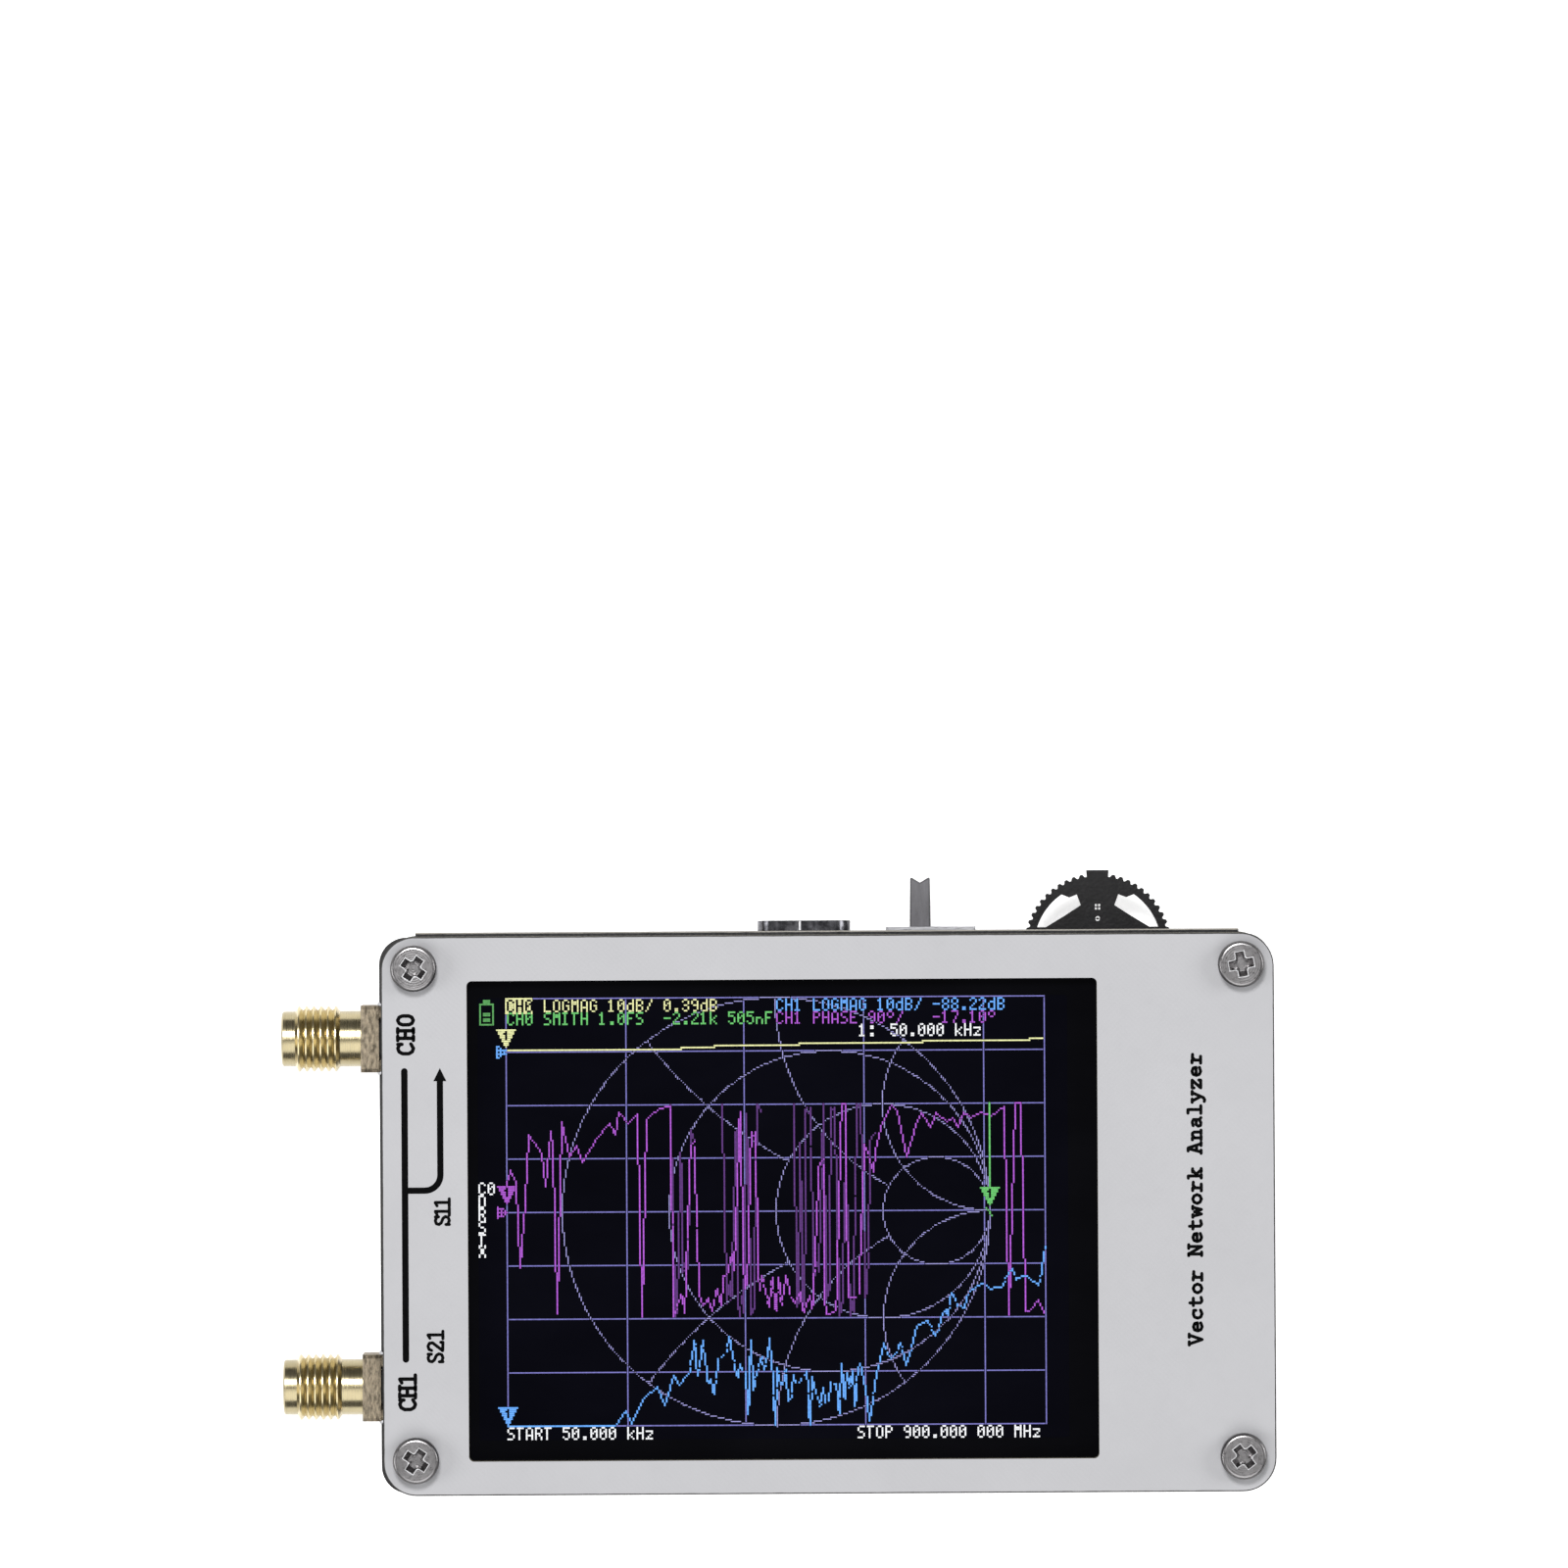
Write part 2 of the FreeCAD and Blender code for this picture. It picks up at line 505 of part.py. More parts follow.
def jog_cover():
    """Thin plate that closes the channel, folded up along the back."""
    half, flap_half, flap_shy, front_shy, hole_gap = JOG_BASE_W / 2, 3.5, 0.4, 0.3, 0.5
    back = JOG_BACK - COVER_T - FIT / 2
    plate = box(JOG_X - half, back, JOG_Z0, JOG_X + half, JOG_FRONT - front_shy, JOG_Z0 + COVER_T)
    flap = box(JOG_X - flap_half, back, JOG_Z0, JOG_X + flap_half, back + COVER_T, JOG_Z1 - flap_shy)
    hole = cylinder(JOG_X, JOG_Y - JOG_STROKE / 2, JOG_Z0 - PAST, JOG_Z0 + PAST, JOG_POST_R + hole_gap)
    return plate.fuse(flap).removeSplitter().cut(hole)


def jog_carriage():
    """Plate that slides in the channel, with the post the wheel turns on."""
    half = JOG_BASE_W / 2 - JOG_WALL - 0.08
    back = JOG_BACK + JOG_WALL + JOG_STROKE + 0.15
    front, lift, plunger_half, plunger_len = JOG_Y + 1.3, 0.03, 1.2, 1.2
    plate = box(JOG_X - half, back, JOG_CEIL - PLATE_T - lift, JOG_X + half, front, JOG_CEIL - lift)
    post = cylinder(JOG_X, JOG_Y, JOG_Z0 + FIT, JOG_CEIL - PLATE_T / 2, JOG_POST_R)
    plunger = box(JOG_X - plunger_half, back, WHEEL_Z0 + 0.2,
                  JOG_X + plunger_half, back + plunger_len, JOG_CEIL - PLATE_T / 2)
    return plate.fuse([post, plunger]).removeSplitter()


def jog_outline():
    """Toothed half disc with a flat pad at the top of the rim."""
    pad = math.degrees(math.asin(JOG_PAD_W / 2 / JOG_R))
    points = [(JOG_X + side * JOG_PAD_W / 2, JOG_Y + JOG_PAD_TOP) for side in (1, -1)]
    hub_half, hub_y, heel_y = 2.0, 1.6, 0.8      # the straight side, behind the axis

    def at(r, a):
        return JOG_X + r * math.cos(math.radians(a)), JOG_Y + r * math.sin(math.radians(a))

    left = [at(JOG_R - JOG_TOOTH, 90 + pad)]
    a = 90 + pad + JOG_PITCH_DEG * 0.15
    while a + JOG_PITCH_DEG < 178:
        left += [at(JOG_R - JOG_TOOTH, a + 0.12 * JOG_PITCH_DEG), at(JOG_R, a + 0.36 * JOG_PITCH_DEG),
                 at(JOG_R, a + 0.66 * JOG_PITCH_DEG), at(JOG_R - JOG_TOOTH, a + 0.9 * JOG_PITCH_DEG)]
        a += JOG_PITCH_DEG
    left += [at(JOG_R - JOG_TOOTH, 180), (JOG_X - JOG_R + JOG_TOOTH, JOG_Y - heel_y),
             (JOG_X - hub_half, JOG_Y - hub_y)]
    right = [(2 * JOG_X - x, y) for x, y in reversed(left)]
    return points + left + right


def jog_window(side):
    """Opening between the hub, the spoke and the rim."""
    rim, low, high = 6.15, 1.92, 5.07            # inner radius of the rim, and the arc's ends in Y
    start, end = math.asin(low / rim), math.asin(high / rim)
    steps = 10
    angles = [start + (end - start) * k / steps for k in range(steps + 1)]
    arc = [(rim * math.cos(a), rim * math.sin(a)) for a in angles]
    spoke = [(2.74, 4.78), (1.99, high), (1.61, 4.03), (3.2, 3.0), (4.99, low)]
    points = [(JOG_X + side * x, JOG_Y + y) for x, y in arc + spoke]
    return extrude(points, WHEEL_Z0 - 1, WHEEL_Z1 + 1)


def jog_wheel():
    """The disc with its windows, a square sprue hole and a round one on the spoke."""
    disc = extrude(jog_outline(), WHEEL_Z0, WHEEL_Z1)
    square, square_y, round_r, round_y = 0.55, 3.86, 0.24, 2.73
    holes = [cylinder(JOG_X, JOG_Y, WHEEL_Z0 - 1, WHEEL_Z1 + 1, JOG_BORE_R),
             cylinder(JOG_X, JOG_Y + round_y, WHEEL_Z0 - 1, WHEEL_Z1 + 1, round_r),
             box(JOG_X - square / 2, JOG_Y + square_y - square / 2, WHEEL_Z0 - 1,
                 JOG_X + square / 2, JOG_Y + square_y + square / 2, WHEEL_Z1 + 1)]
    return disc.cut([jog_window(-1), jog_window(1)] + holes)


def jog_terminals():
    """Feet of the contacts along both sides of the base."""
    reach, width, foot_t, wall_t, rise = 0.9, 0.6, 0.24, 0.2, 1.6
    z1 = Z_BOARD - FIT / 2
    feet = []
    for side in (-1, 1):
        x = JOG_X + side * (JOG_BASE_W / 2 + FIT / 2)
        foot_x, wall_x = sorted((x, x + side * reach)), sorted((x, x + side * wall_t))
        for y in (JOG_BACK + 1.0, JOG_BACK + 2.9):
            foot = box(foot_x[0], y - width / 2, z1 - foot_t, foot_x[1], y + width / 2, z1)
            wall = box(wall_x[0], y - width / 2, Z_BOARD - rise, wall_x[1], y + width / 2, z1)
            feet.append(foot.fuse(wall).removeSplitter())
    return group(feet)


# ================================================================ chips on the rear of the board
STANDOFF = 0.1                                   # air under a leaded package


def package(x, y, w, d, h, lift=STANDOFF, edge=0.15):
    z1 = Z_BOARD - lift
    body = box(x - w / 2, y - d / 2, z1 - h, x + w / 2, y + d / 2, z1)
    rim = [e for e in body.Edges if all(abs(v.Z - (z1 - h)) < 0.01 for v in e.Vertexes)]
    return body.makeChamfer(edge, rim)


def lead(x, y, way, w, reach, h):
    """A gull-wing lead that leaves a package side in the direction way = (dx, dy)."""
    t = 0.15
    mid = Z_BOARD - STANDOFF - h / 2
    z_foot = Z_BOARD - 0.01
    gap, step = 0.01, reach * 0.45
    ring = [(gap, mid - t), (step, mid - t), (step, z_foot - t), (reach, z_foot - t),
            (reach, z_foot), (step - t, z_foot), (step - t, mid), (gap, mid)]
    points = [V(a, -w / 2, z) for a, z in ring]
    solid = Part.Face(Part.makePolygon(points + points[:1])).extrude(V(0, w, 0))
    solid.rotate(V(0, 0, 0), V(0, 0, 1), math.degrees(math.atan2(way[1], way[0])))
    solid.translate(V(x, y, 0))
    return solid


def lead_row(x, y, w, d, h, pitch, count, lead_w, reach, sides):
    """Leads centred on the chosen sides of a package."""
    out = []
    for k in range(count):
        off = (k - (count - 1) / 2) * pitch
        if "x" in sides:
            out += [lead(x + s * w / 2, y + off, (s, 0), lead_w, reach, h) for s in (-1, 1)]
        if "y" in sides:
            out += [lead(x + off, y + s * d / 2, (0, s), lead_w, reach, h) for s in (-1, 1)]
    return out


MCU = (-15.5, 8.0)
CODEC = (-17.5, -4.5)
CLOCK = (-27.0, 0.5)
MIXERS = [(-31.0, 10.5), (-31.0, -10.5), (-24.0, -14.5)]
CHARGER = (-9.5, 17.5)


def mcu_package():
    return package(*MCU, 7.0, 7.0, 1.4)


def mcu_leads():
    return group(lead_row(*MCU, 7.0, 7.0, 1.4, 0.5, 12, 0.22, 1.0, "xy"))


def codec_package():
    return package(*CODEC, 5.0, 5.0, 0.9, 0.02)


def clock_package():
    return package(*CLOCK, 3.0, 3.0, 0.95)


def clock_leads():
    return group(lead_row(*CLOCK, 3.0, 3.0, 0.95, 0.5, 5, 0.2, 0.95, "x"))


def mixer_packages():
    return group([package(x, y, 3.9, 4.9, 1.5) for x, y in MIXERS])


def mixer_leads():
    rows = []
    for x, y in MIXERS:
        rows += lead_row(x, y, 3.9, 4.9, 1.5, 1.27, 4, 0.4, 1.05, "x")
    return group(rows)


def charger_package():
    return package(*CHARGER, 3.9, 4.9, 1.5)


def charger_leads():
    return group(lead_row(*CHARGER, 3.9, 4.9, 1.5, 1.27, 4, 0.4, 1.05, "x"))


def crystals():
    """Lidded metal cans of the two oscillators."""
    cans = []
    for x, y in ((-22.5, 6.5), (-27.0, 5.5)):
        base = box(x - 1.6, y - 1.25, Z_BOARD - 0.32, x + 1.6, y + 1.25, Z_BOARD - 0.02)
        lid = rounded_box(x - 1.35, y - 1.0, x + 1.35, y + 1.0, Z_BOARD - 0.8, Z_BOARD - 0.3, 0.3)
        cans.append(base.fuse(lid).removeSplitter())
    return group(cans)


def chip(x, y, along_x, length, width, h):
    w, d = (length, width) if along_x else (width, length)
    return box(x - w / 2, y - d / 2, Z_BOARD - 0.02 - h, x + w / 2, y + d / 2, Z_BOARD - 0.02)


def chip_capacitors():
    by_mcu = ((-3.0, 6.0), (0, 6.0), (3.0, 6.0), (6.2, 1.5), (6.2, -1.5))
    by_codec = [(sx * 3.6, sy * 1.5) for sx in (-1, 1) for sy in (-1, 1)]
    spots = [(MCU[0] + dx, MCU[1] + dy, True) for dx, dy in by_mcu]
    spots += [(CODEC[0] + dx, CODEC[1] + dy, False) for dx, dy in by_codec]
    spots += [(x - 4.2, y + dy, False) for x, y in MIXERS[:2] for dy in (-2.2, 2.2)]
    spots += [(-37.2 + k * 2.2, side * 14.0, True) for side in (-1, 1) for k in range(3)]
    return group([chip(x, y, along, 1.6, 0.8, 0.7) for x, y, along in spots])


def chip_resistors():
    spots = [(-37.8, y + dy, False) for y in PORT_YS for dy in (-1.3, 1.3)]
    spots += [(-35.4 + k * 1.5, y, False) for y in PORT_YS for k in range(4)]
    spots += [(-35.5 + k * 1.8, side * 5.0, True) for side in (-1, 1) for k in range(3)]
    spots += [(-13.5 + k * 1.6, 20.5, False) for k in range(2)]
    spots += [(5.5 + k * 1.5, 16.5, False) for k in range(5)]
    return group([chip(x, y, along, 1.0, 0.5, 0.35) for x, y, along in spots])


def power_inductor():
    x, y, half, h, corner_r, dish_r, dish_d = -3.0, 16.5, 2.0, 1.8, 0.7, 1.3, 0.12
    z0 = Z_BOARD - h
    base = rounded_box(x - half, y - half, x + half, y + half, z0, Z_BOARD - FIT, corner_r)
    return base.cut(cylinder(x, y, z0 - PAST, z0 + dish_d, dish_r))


def status_leds():
    return group([chip(x, EDGE_Y - 1.6, False, 1.6, 0.8, 0.6) for x in (16.2, 18.0)])


# ================================================================ battery
Z_CELL_BAT = Z_REAR_IN + BATTERY_TAPE_T
PLUG = (26.4, 14.0)


def battery_tape():
    x0, y0, x1, y1 = BATTERY
    return box(x0 + 4, y0 + 4, Z_REAR_IN, x1 - 4, y1 - 4, Z_CELL_BAT)


def battery_cell():
    """Pouch with soft long edges and a folded terminal strip at one end."""
    x0, y0, x1, y1 = BATTERY
    pouch = box(x0, y0, Z_CELL_BAT, x1 - 3.0, y1, Z_CELL_BAT + BATTERY_T)
    soft = [e for e in pouch.Edges if abs(e.Vertexes[0].X - e.Vertexes[1].X) > 10]
    pouch = pouch.makeFillet(1.1, soft)
    strip = box(x1 - 3.2, y0 + 2.0, Z_CELL_BAT + 0.3, x1, y1 - 2.0, Z_CELL_BAT + 1.7)
    return pouch.fuse(strip).removeSplitter()


def battery_connector():
    """Two-way socket on the rear face of the board, open towards the terminal end."""
    x, y = PLUG
    length, depth, half_w, wall, floor = 4.0, 2.6, 2.6, 0.5, 0.4
    x0 = x - 3.4
    body = box(x0, y - half_w, Z_BOARD - depth, x0 + length, y + half_w, Z_BOARD - FIT)
    hollow = box(x0 + 0.8, y - half_w + wall, Z_BOARD - depth + floor,
                 x0 + length + PAST, y + half_w - wall, Z_BOARD - wall)
    return body.cut(hollow)


LEAD_PITCH, LEAD_DROP = 1.9, 1.35                # at the plug, and below the board


def battery_plug():
    x, y = PLUG
    body = box(x - 2.5, y - 2.05, Z_BOARD - 2.15, x + 1.4, y + 2.05, Z_BOARD - 0.55)
    z = Z_BOARD - LEAD_DROP
    holes = [Part.makeCylinder(LEAD_R + 0.12, 1.6, V(x + 0.6, y + s * LEAD_PITCH / 2, z), V(1, 0, 0))
             for s in (-1, 1)]
    return body.cut(holes)


def battery_leads():
    """The two insulated leads, from the terminal strip round to the plug."""
    x, y = PLUG
    x1, y1 = BATTERY[2], BATTERY[3]
    z_strip, z_plug = Z_CELL_BAT + 1.0, Z_BOARD - LEAD_DROP
    leads = []
    for s, reach in ((-1, 2.2), (1, 3.6)):
        start = V(x1 + 0.15, y1 - 3.6 + s * 0.9, z_strip)
        end = V(x + 0.75, y + s * LEAD_PITCH / 2, z_plug)
        outermost = V(x1 + reach, (start.y + end.y) / 2, (z_strip + z_plug) / 2)
        curve = Part.BSplineCurve()
        curve.interpolate([start, start + V(reach * 0.5, 0.35, 0.05), outermost,
                           V(x1 - 1.0 + reach * 0.3, end.y - 0.05, z_plug),
                           V(x + 3.2, end.y, z_plug), end])
        path = Part.Wire(curve.toShape())
        circle = Part.Wire(Part.Circle(start, curve.tangent(curve.FirstParameter)[0], LEAD_R).toShape())
        leads.append(path.makePipeShell([circle], True, False))
    return group(leads)


NODES = {
    "front_panel": front_panel, "rear_panel": rear_panel, "main_board": main_board,
    "front_screws": lambda: screws(Z_FRONT, 1), "rear_screws": lambda: screws(Z_REAR, -1),
    "front_standoffs": front_standoffs, "rear_standoffs": rear_standoffs,
    "lcd_tape": lcd_tape, "lcd_backlight": lcd_backlight, "lcd_cell": lcd_cell,
    "touch_panel": touch_panel,
    "lcd_flex": lcd_flex, "lcd_connector": lcd_connector,
    "port_ch0_shell": lambda: port_shell(PORT_YS[0]), "port_ch1_shell": lambda: port_shell(PORT_YS[1]),
    "port_ch0_insulator": lambda: port_insulator(PORT_YS[0]),
    "port_ch1_insulator": lambda: port_insulator(PORT_YS[1]),
    "port_ch0_contact": lambda: port_contact(PORT_YS[0]),
    "port_ch1_contact": lambda: port_contact(PORT_YS[1]),
    "usb_shell": usb_shell, "usb_tongue": usb_tongue, "usb_contacts": usb_contacts,
    "power_switch_case": power_switch_case, "power_switch_base": power_switch_base,
    "power_switch_pins": power_switch_pins, "power_slider": power_slider,
    "jog_base": jog_base, "jog_cover": jog_cover, "jog_carriage": jog_carriage, "jog_wheel": jog_wheel,
    "jog_terminals": jog_terminals,
    "mcu_package": mcu_package, "mcu_leads": mcu_leads, "codec_package": codec_package,
    "clock_package": clock_package, "clock_leads": clock_leads,
    "mixer_packages": mixer_packages, "mixer_leads": mixer_leads, "crystals": crystals,
    "charger_package": charger_package, "charger_leads": charger_leads,
    "chip_capacitors": chip_capacitors, "chip_resistors": chip_resistors,
    "power_inductor": power_inductor, "status_leds": status_leds,
    "battery_tape": battery_tape, "battery_cell": battery_cell, "battery_connector": battery_connector,
    "battery_plug": battery_plug, "battery_leads": battery_leads,
}

os.makedirs("parts", exist_ok=True)
for name, make in NODES.items():
    write(name, make())
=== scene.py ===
"""Looks of the handheld two-port vector network analyzer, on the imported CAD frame."""
import math
import random

import bmesh
import bpy
from mathutils import Matrix, Vector


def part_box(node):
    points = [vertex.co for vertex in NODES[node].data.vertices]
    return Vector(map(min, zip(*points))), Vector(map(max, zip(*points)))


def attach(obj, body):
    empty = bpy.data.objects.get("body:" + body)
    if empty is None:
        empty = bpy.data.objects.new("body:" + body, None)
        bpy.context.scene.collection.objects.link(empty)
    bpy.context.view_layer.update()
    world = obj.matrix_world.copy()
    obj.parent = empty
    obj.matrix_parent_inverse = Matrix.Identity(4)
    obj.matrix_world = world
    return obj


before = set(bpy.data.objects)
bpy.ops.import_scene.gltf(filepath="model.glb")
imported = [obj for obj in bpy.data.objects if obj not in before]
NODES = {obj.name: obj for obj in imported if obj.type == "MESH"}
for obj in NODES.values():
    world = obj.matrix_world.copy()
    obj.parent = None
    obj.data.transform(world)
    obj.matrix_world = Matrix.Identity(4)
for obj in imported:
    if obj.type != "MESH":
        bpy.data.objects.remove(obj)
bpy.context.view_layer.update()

MM = 0.001
ROOT = "chassis"
panel_lo, panel_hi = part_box("front_panel")
CENTRE_X, CENTRE_Y = (panel_lo.x + panel_hi.x) / 2, (panel_lo.y + panel_hi.y) / 2


def node_mm(name):
    """A node's box about the panel's middle, in millimetres: x0, y0, z0, x1, y1, z1."""
    lo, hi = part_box(name)
    return ((lo.x - CENTRE_X) / MM, (lo.y - CENTRE_Y) / MM, lo.z / MM,
            (hi.x - CENTRE_X) / MM, (hi.y - CENTRE_Y) / MM, hi.z / MM)


def at(x, y, z):
    """A point given in millimetres about the panel's middle, with Z up from the table."""
    return Vector((CENTRE_X + x * MM, CENTRE_Y + y * MM, z * MM))


PANEL = node_mm("front_panel")
BOARD = node_mm("main_board")
TOUCH = node_mm("touch_panel")
EDGE_X, EDGE_Y = PANEL[3], PANEL[4]
BOARD_X0, BOARD_Z0, BOARD_Z1 = BOARD[0], BOARD[2], BOARD[5]
Z_FRONT = PANEL[5]
SCREW = [node_mm("front_screws")[i] for i in (0, 1, 3, 4)]
SCREW_R = 2.22  # of a screw head
SCREW_X, SCREW_Y = SCREW[2] - SCREW_R, (SCREW[3] - SCREW[1]) / 2 - SCREW_R
SCREW_MID_Y = (SCREW[3] + SCREW[1]) / 2  # the pattern's middle, above the panel's
PORT_YS = [(node_mm(name)[1] + node_mm(name)[4]) / 2 for name in ("port_ch0_contact", "port_ch1_contact")]


def srgb(r, g, b):
    """Linear colour from display values of 0 to 255."""
    def linear(c):
        c /= 255
        return c / 12.92 if c <= 0.04045 else ((c + 0.055) / 1.055) ** 2.4
    return (linear(r), linear(g), linear(b), 1.0)


# ===== camera and lights
VIEW_WIDTH = 150.1  # millimetres across the view, at the front face
CAMERA_HEIGHT = 1200  # above the front face
ROLL = math.radians(0.325)
PANEL_IN_VIEW = (4.27, -41.19)  # the panel's middle from the middle of the view

camera_data = bpy.data.cameras.new("camera")
camera_data.sensor_width = 36
camera_data.lens = camera_data.sensor_width * CAMERA_HEIGHT / VIEW_WIDTH
camera_data.clip_start, camera_data.clip_end = 0.01, 10
camera = bpy.data.objects.new("camera", camera_data)
bpy.context.scene.collection.objects.link(camera)
offset = Matrix.Rotation(-ROLL, 3, "Z") @ Vector((*PANEL_IN_VIEW, 0)) * MM
camera.location = at(0, 0, Z_FRONT + CAMERA_HEIGHT) - offset
camera.rotation_euler = (0, 0, -ROLL)
bpy.context.scene.camera = camera


def area_light(name, place, size, power):
    """A white disc light, in metres and watts, that faces the origin."""
    data = bpy.data.lights.new(name, "AREA")
    data.shape, data.size, data.energy = "DISK", size, power
    light = bpy.data.objects.new(name, data)
    bpy.context.scene.collection.objects.link(light)
    light.location = place
    light.rotation_euler = (-Vector(place)).to_track_quat("-Z", "Y").to_euler()


area_light("key", (-0.08, 0.36, 0.87), 0.26, 4.9)
area_light("fill", (0.02, -0.52, 0.78), 0.80, 3.4)
area_light("left", (-0.75, -0.10, 0.50), 0.50, 2.4)
area_light("right", (0.75, 0.15, 0.50), 0.50, 2.4)

world = bpy.data.worlds.new("studio")
bpy.context.scene.world = world
world.use_nodes = True
world.node_tree.nodes["Background"].inputs["Color"].default_value = (1, 1, 1, 1)
world.node_tree.nodes["Background"].inputs["Strength"].default_value = 0.15
bpy.context.scene.view_settings.view_transform = "Standard"


# ===== materials
def feed(tree, socket, value):
    """Links a socket to a value that is a socket itself, and sets it to anything else."""
    if isinstance(value, bpy.types.NodeSocket):
        tree.links.new(value, socket)
    else:
        socket.default_value = value


def put(tree, kind, values=None):
    """Adds a node and feeds its inputs by name."""
    node = tree.nodes.new(kind)
    for key, value in (values or {}).items():
        feed(tree, node.inputs[key], value)
    return node


def new_material(name):
    """A new material, its node tree, its shader and its object coordinates.

    The coordinates of a CAD node and of a new piece are both the row frame at rest.
    """
    material = bpy.data.materials.new(name)
    material.use_nodes = True
    tree = material.node_tree
    return material, tree, tree.nodes["Principled BSDF"], put(tree, "ShaderNodeTexCoord").outputs["Object"]


def split(tree, vector):
    """The X, Y and Z sockets of a vector."""
    return put(tree, "ShaderNodeSeparateXYZ", {"Vector": vector}).outputs


def noise(tree, where, scale, detail=3.0, rough=0.55, stretch=None):
    """Noise value from 0 to 1, with features about 1/scale metres across."""
    if stretch:
        where = put(tree, "ShaderNodeMapping", {"Vector": where, "Scale": stretch}).outputs["Vector"]
    return put(tree, "ShaderNodeTexNoise", {"Vector": where, "Scale": scale, "Detail": detail,
                                            "Roughness": rough}).outputs["Fac"]


def ramp(tree, value, low, high, lo_at=0.3, hi_at=0.7):
    """Colour ramp between two colours."""
    node = put(tree, "ShaderNodeValToRGB", {"Fac": value})
    first, last = node.color_ramp.elements
    first.position, first.color = lo_at, low
    last.position, last.color = hi_at, high
    return node.outputs["Color"]


def remap(tree, value, low, high, lo_at=0.3, hi_at=0.7):
    """The span from lo_at to hi_at stretched to run from low to high."""
    return put(tree, "ShaderNodeMapRange", {"Value": value, "From Min": lo_at, "From Max": hi_at,
                                            "To Min": low, "To Max": high}).outputs["Result"]


def calc(tree, operation, a, b=0.0):
    """One sum on sockets or numbers; b is unused by an operation that takes one value."""
    node = tree.nodes.new("ShaderNodeMath")
    node.operation = operation
    feed(tree, node.inputs[0], a)
    feed(tree, node.inputs[1], b)
    return node.outputs[0]


def magnitude(tree, x, y):
    """Length of a flat vector."""
    squares = [calc(tree, "POWER", value, 2.0) for value in (x, y)]
    return calc(tree, "SQRT", calc(tree, "ADD", *squares))


def from_centre(tree, value, centre):
    """Distance of a value from a centre, on either side."""
    return calc(tree, "ABSOLUTE", calc(tree, "SUBTRACT", value, centre))


def ridges(tree, value, pitch):
    """A sine wave with one ridge to each pitch, in metres."""
    return calc(tree, "SINE", calc(tree, "MULTIPLY", value, 2 * math.pi / pitch))


def bump(tree, height, distance, strength=1.0, under=None):
    """Relief of a height value, distance metres deep, over another relief if one is given."""
    values = {"Height": height, "Distance": distance, "Strength": strength}
    if under is not None:
        values["Normal"] = under
    return put(tree, "ShaderNodeBump", values).outputs["Normal"]


def shade(colour, factor):
    """A colour made lighter or darker."""
    return tuple(min(1.0, c * factor) for c in colour[:3]) + (1.0,)


def mix(tree, factor, a, b):
    """Colour a where factor is 0, and b where it is 1."""
    node = tree.nodes.new("ShaderNodeMix")
    node.data_type = "RGBA"
    for index, value in ((0, factor), (6, a), (7, b)):
        feed(tree, node.inputs[index], value)
    return node.outputs[2]


def wire(tree, bsdf, colour, roughness, normal, others=None):
    """Feeds the three inputs that every look varies, and others by name."""
    values = {"Base Color": colour, "Roughness": roughness, "Normal": normal, **(others or {})}
    for key, value in values.items():
        feed(tree, bsdf.inputs[key], value)


METAL = {"Metallic": 1.0}


def moulded(name, colour, rough=(0.45, 0.6), grain=9000, grain_depth=0.000012, mottle=0.12, specular=0.5):
    """Moulded plastic, rubber or epoxy: fine grain, faint mottling and uneven gloss."""
    material, tree, bsdf, where = new_material(name)
    cloud = noise(tree, where, 420, 4)
    wire(tree, bsdf, ramp(tree, cloud, shade(colour, 1 - mottle), shade(colour, 1 + mottle)),
         remap(tree, noise(tree, where, 1500, 3), *rough),
         bump(tree, noise(tree, where, grain, 2), grain_depth), {"Specular IOR Level": specular})
    return material


def plated(name, colour, rough=(0.2, 0.35), stretch=(1, 1, 1), scratch=2500, depth=0.000006,
           stain_and_shade=None, stain_and_shade_at=(0.55, 0.75)):
    """Plated or bare metal: drawn or lapped marks along one axis, and optional dark patches: stains, and
    painted dark reflection on the USB shell.
    """
    material, tree, bsdf, where = new_material(name)
    lines = noise(tree, where, scratch, 3, 0.6, stretch)
    cloud = noise(tree, where, 500, 4)
    base = ramp(tree, cloud, shade(colour, 0.88), shade(colour, 1.06))
    if stain_and_shade:
        base = mix(tree, remap(tree, noise(tree, where, 900, 5, 0.65), 0.0, 0.8, *stain_and_shade_at), base, stain_and_shade)
    wire(tree, bsdf, base, remap(tree, lines, *rough), bump(tree, lines, depth), METAL)
    return material


CLOTH_PITCH, LAYER_PITCH = 0.00056, 0.0002  # threads of glass cloth, and layers of a board's edge
# On the grey panels this strip is painted shade, a dark line along the routed edge; on the main board it
# is bare laminate.
BARE_WIDTH, RAGGED = 0.09, 0.00006  # bare strip inside a routed edge, mm, and its waver, m


def past_outline(tree, axes, x0, y0, x1, y1, corner):
    """Distance from the centre of the nearest round corner: it reaches corner on the outline itself."""
    past = []
    for axis, low, high in (("X", CENTRE_X + x0 * MM, CENTRE_X + x1 * MM),
                            ("Y", CENTRE_Y + y0 * MM, CENTRE_Y + y1 * MM)):
        away = from_centre(tree, axes[axis], (low + high) / 2)
        over = calc(tree, "SUBTRACT", away, (high - low) / 2 - corner * MM)
        past.append(calc(tree, "MAXIMUM", over, 0.0))
    return magnitude(tree, *past)


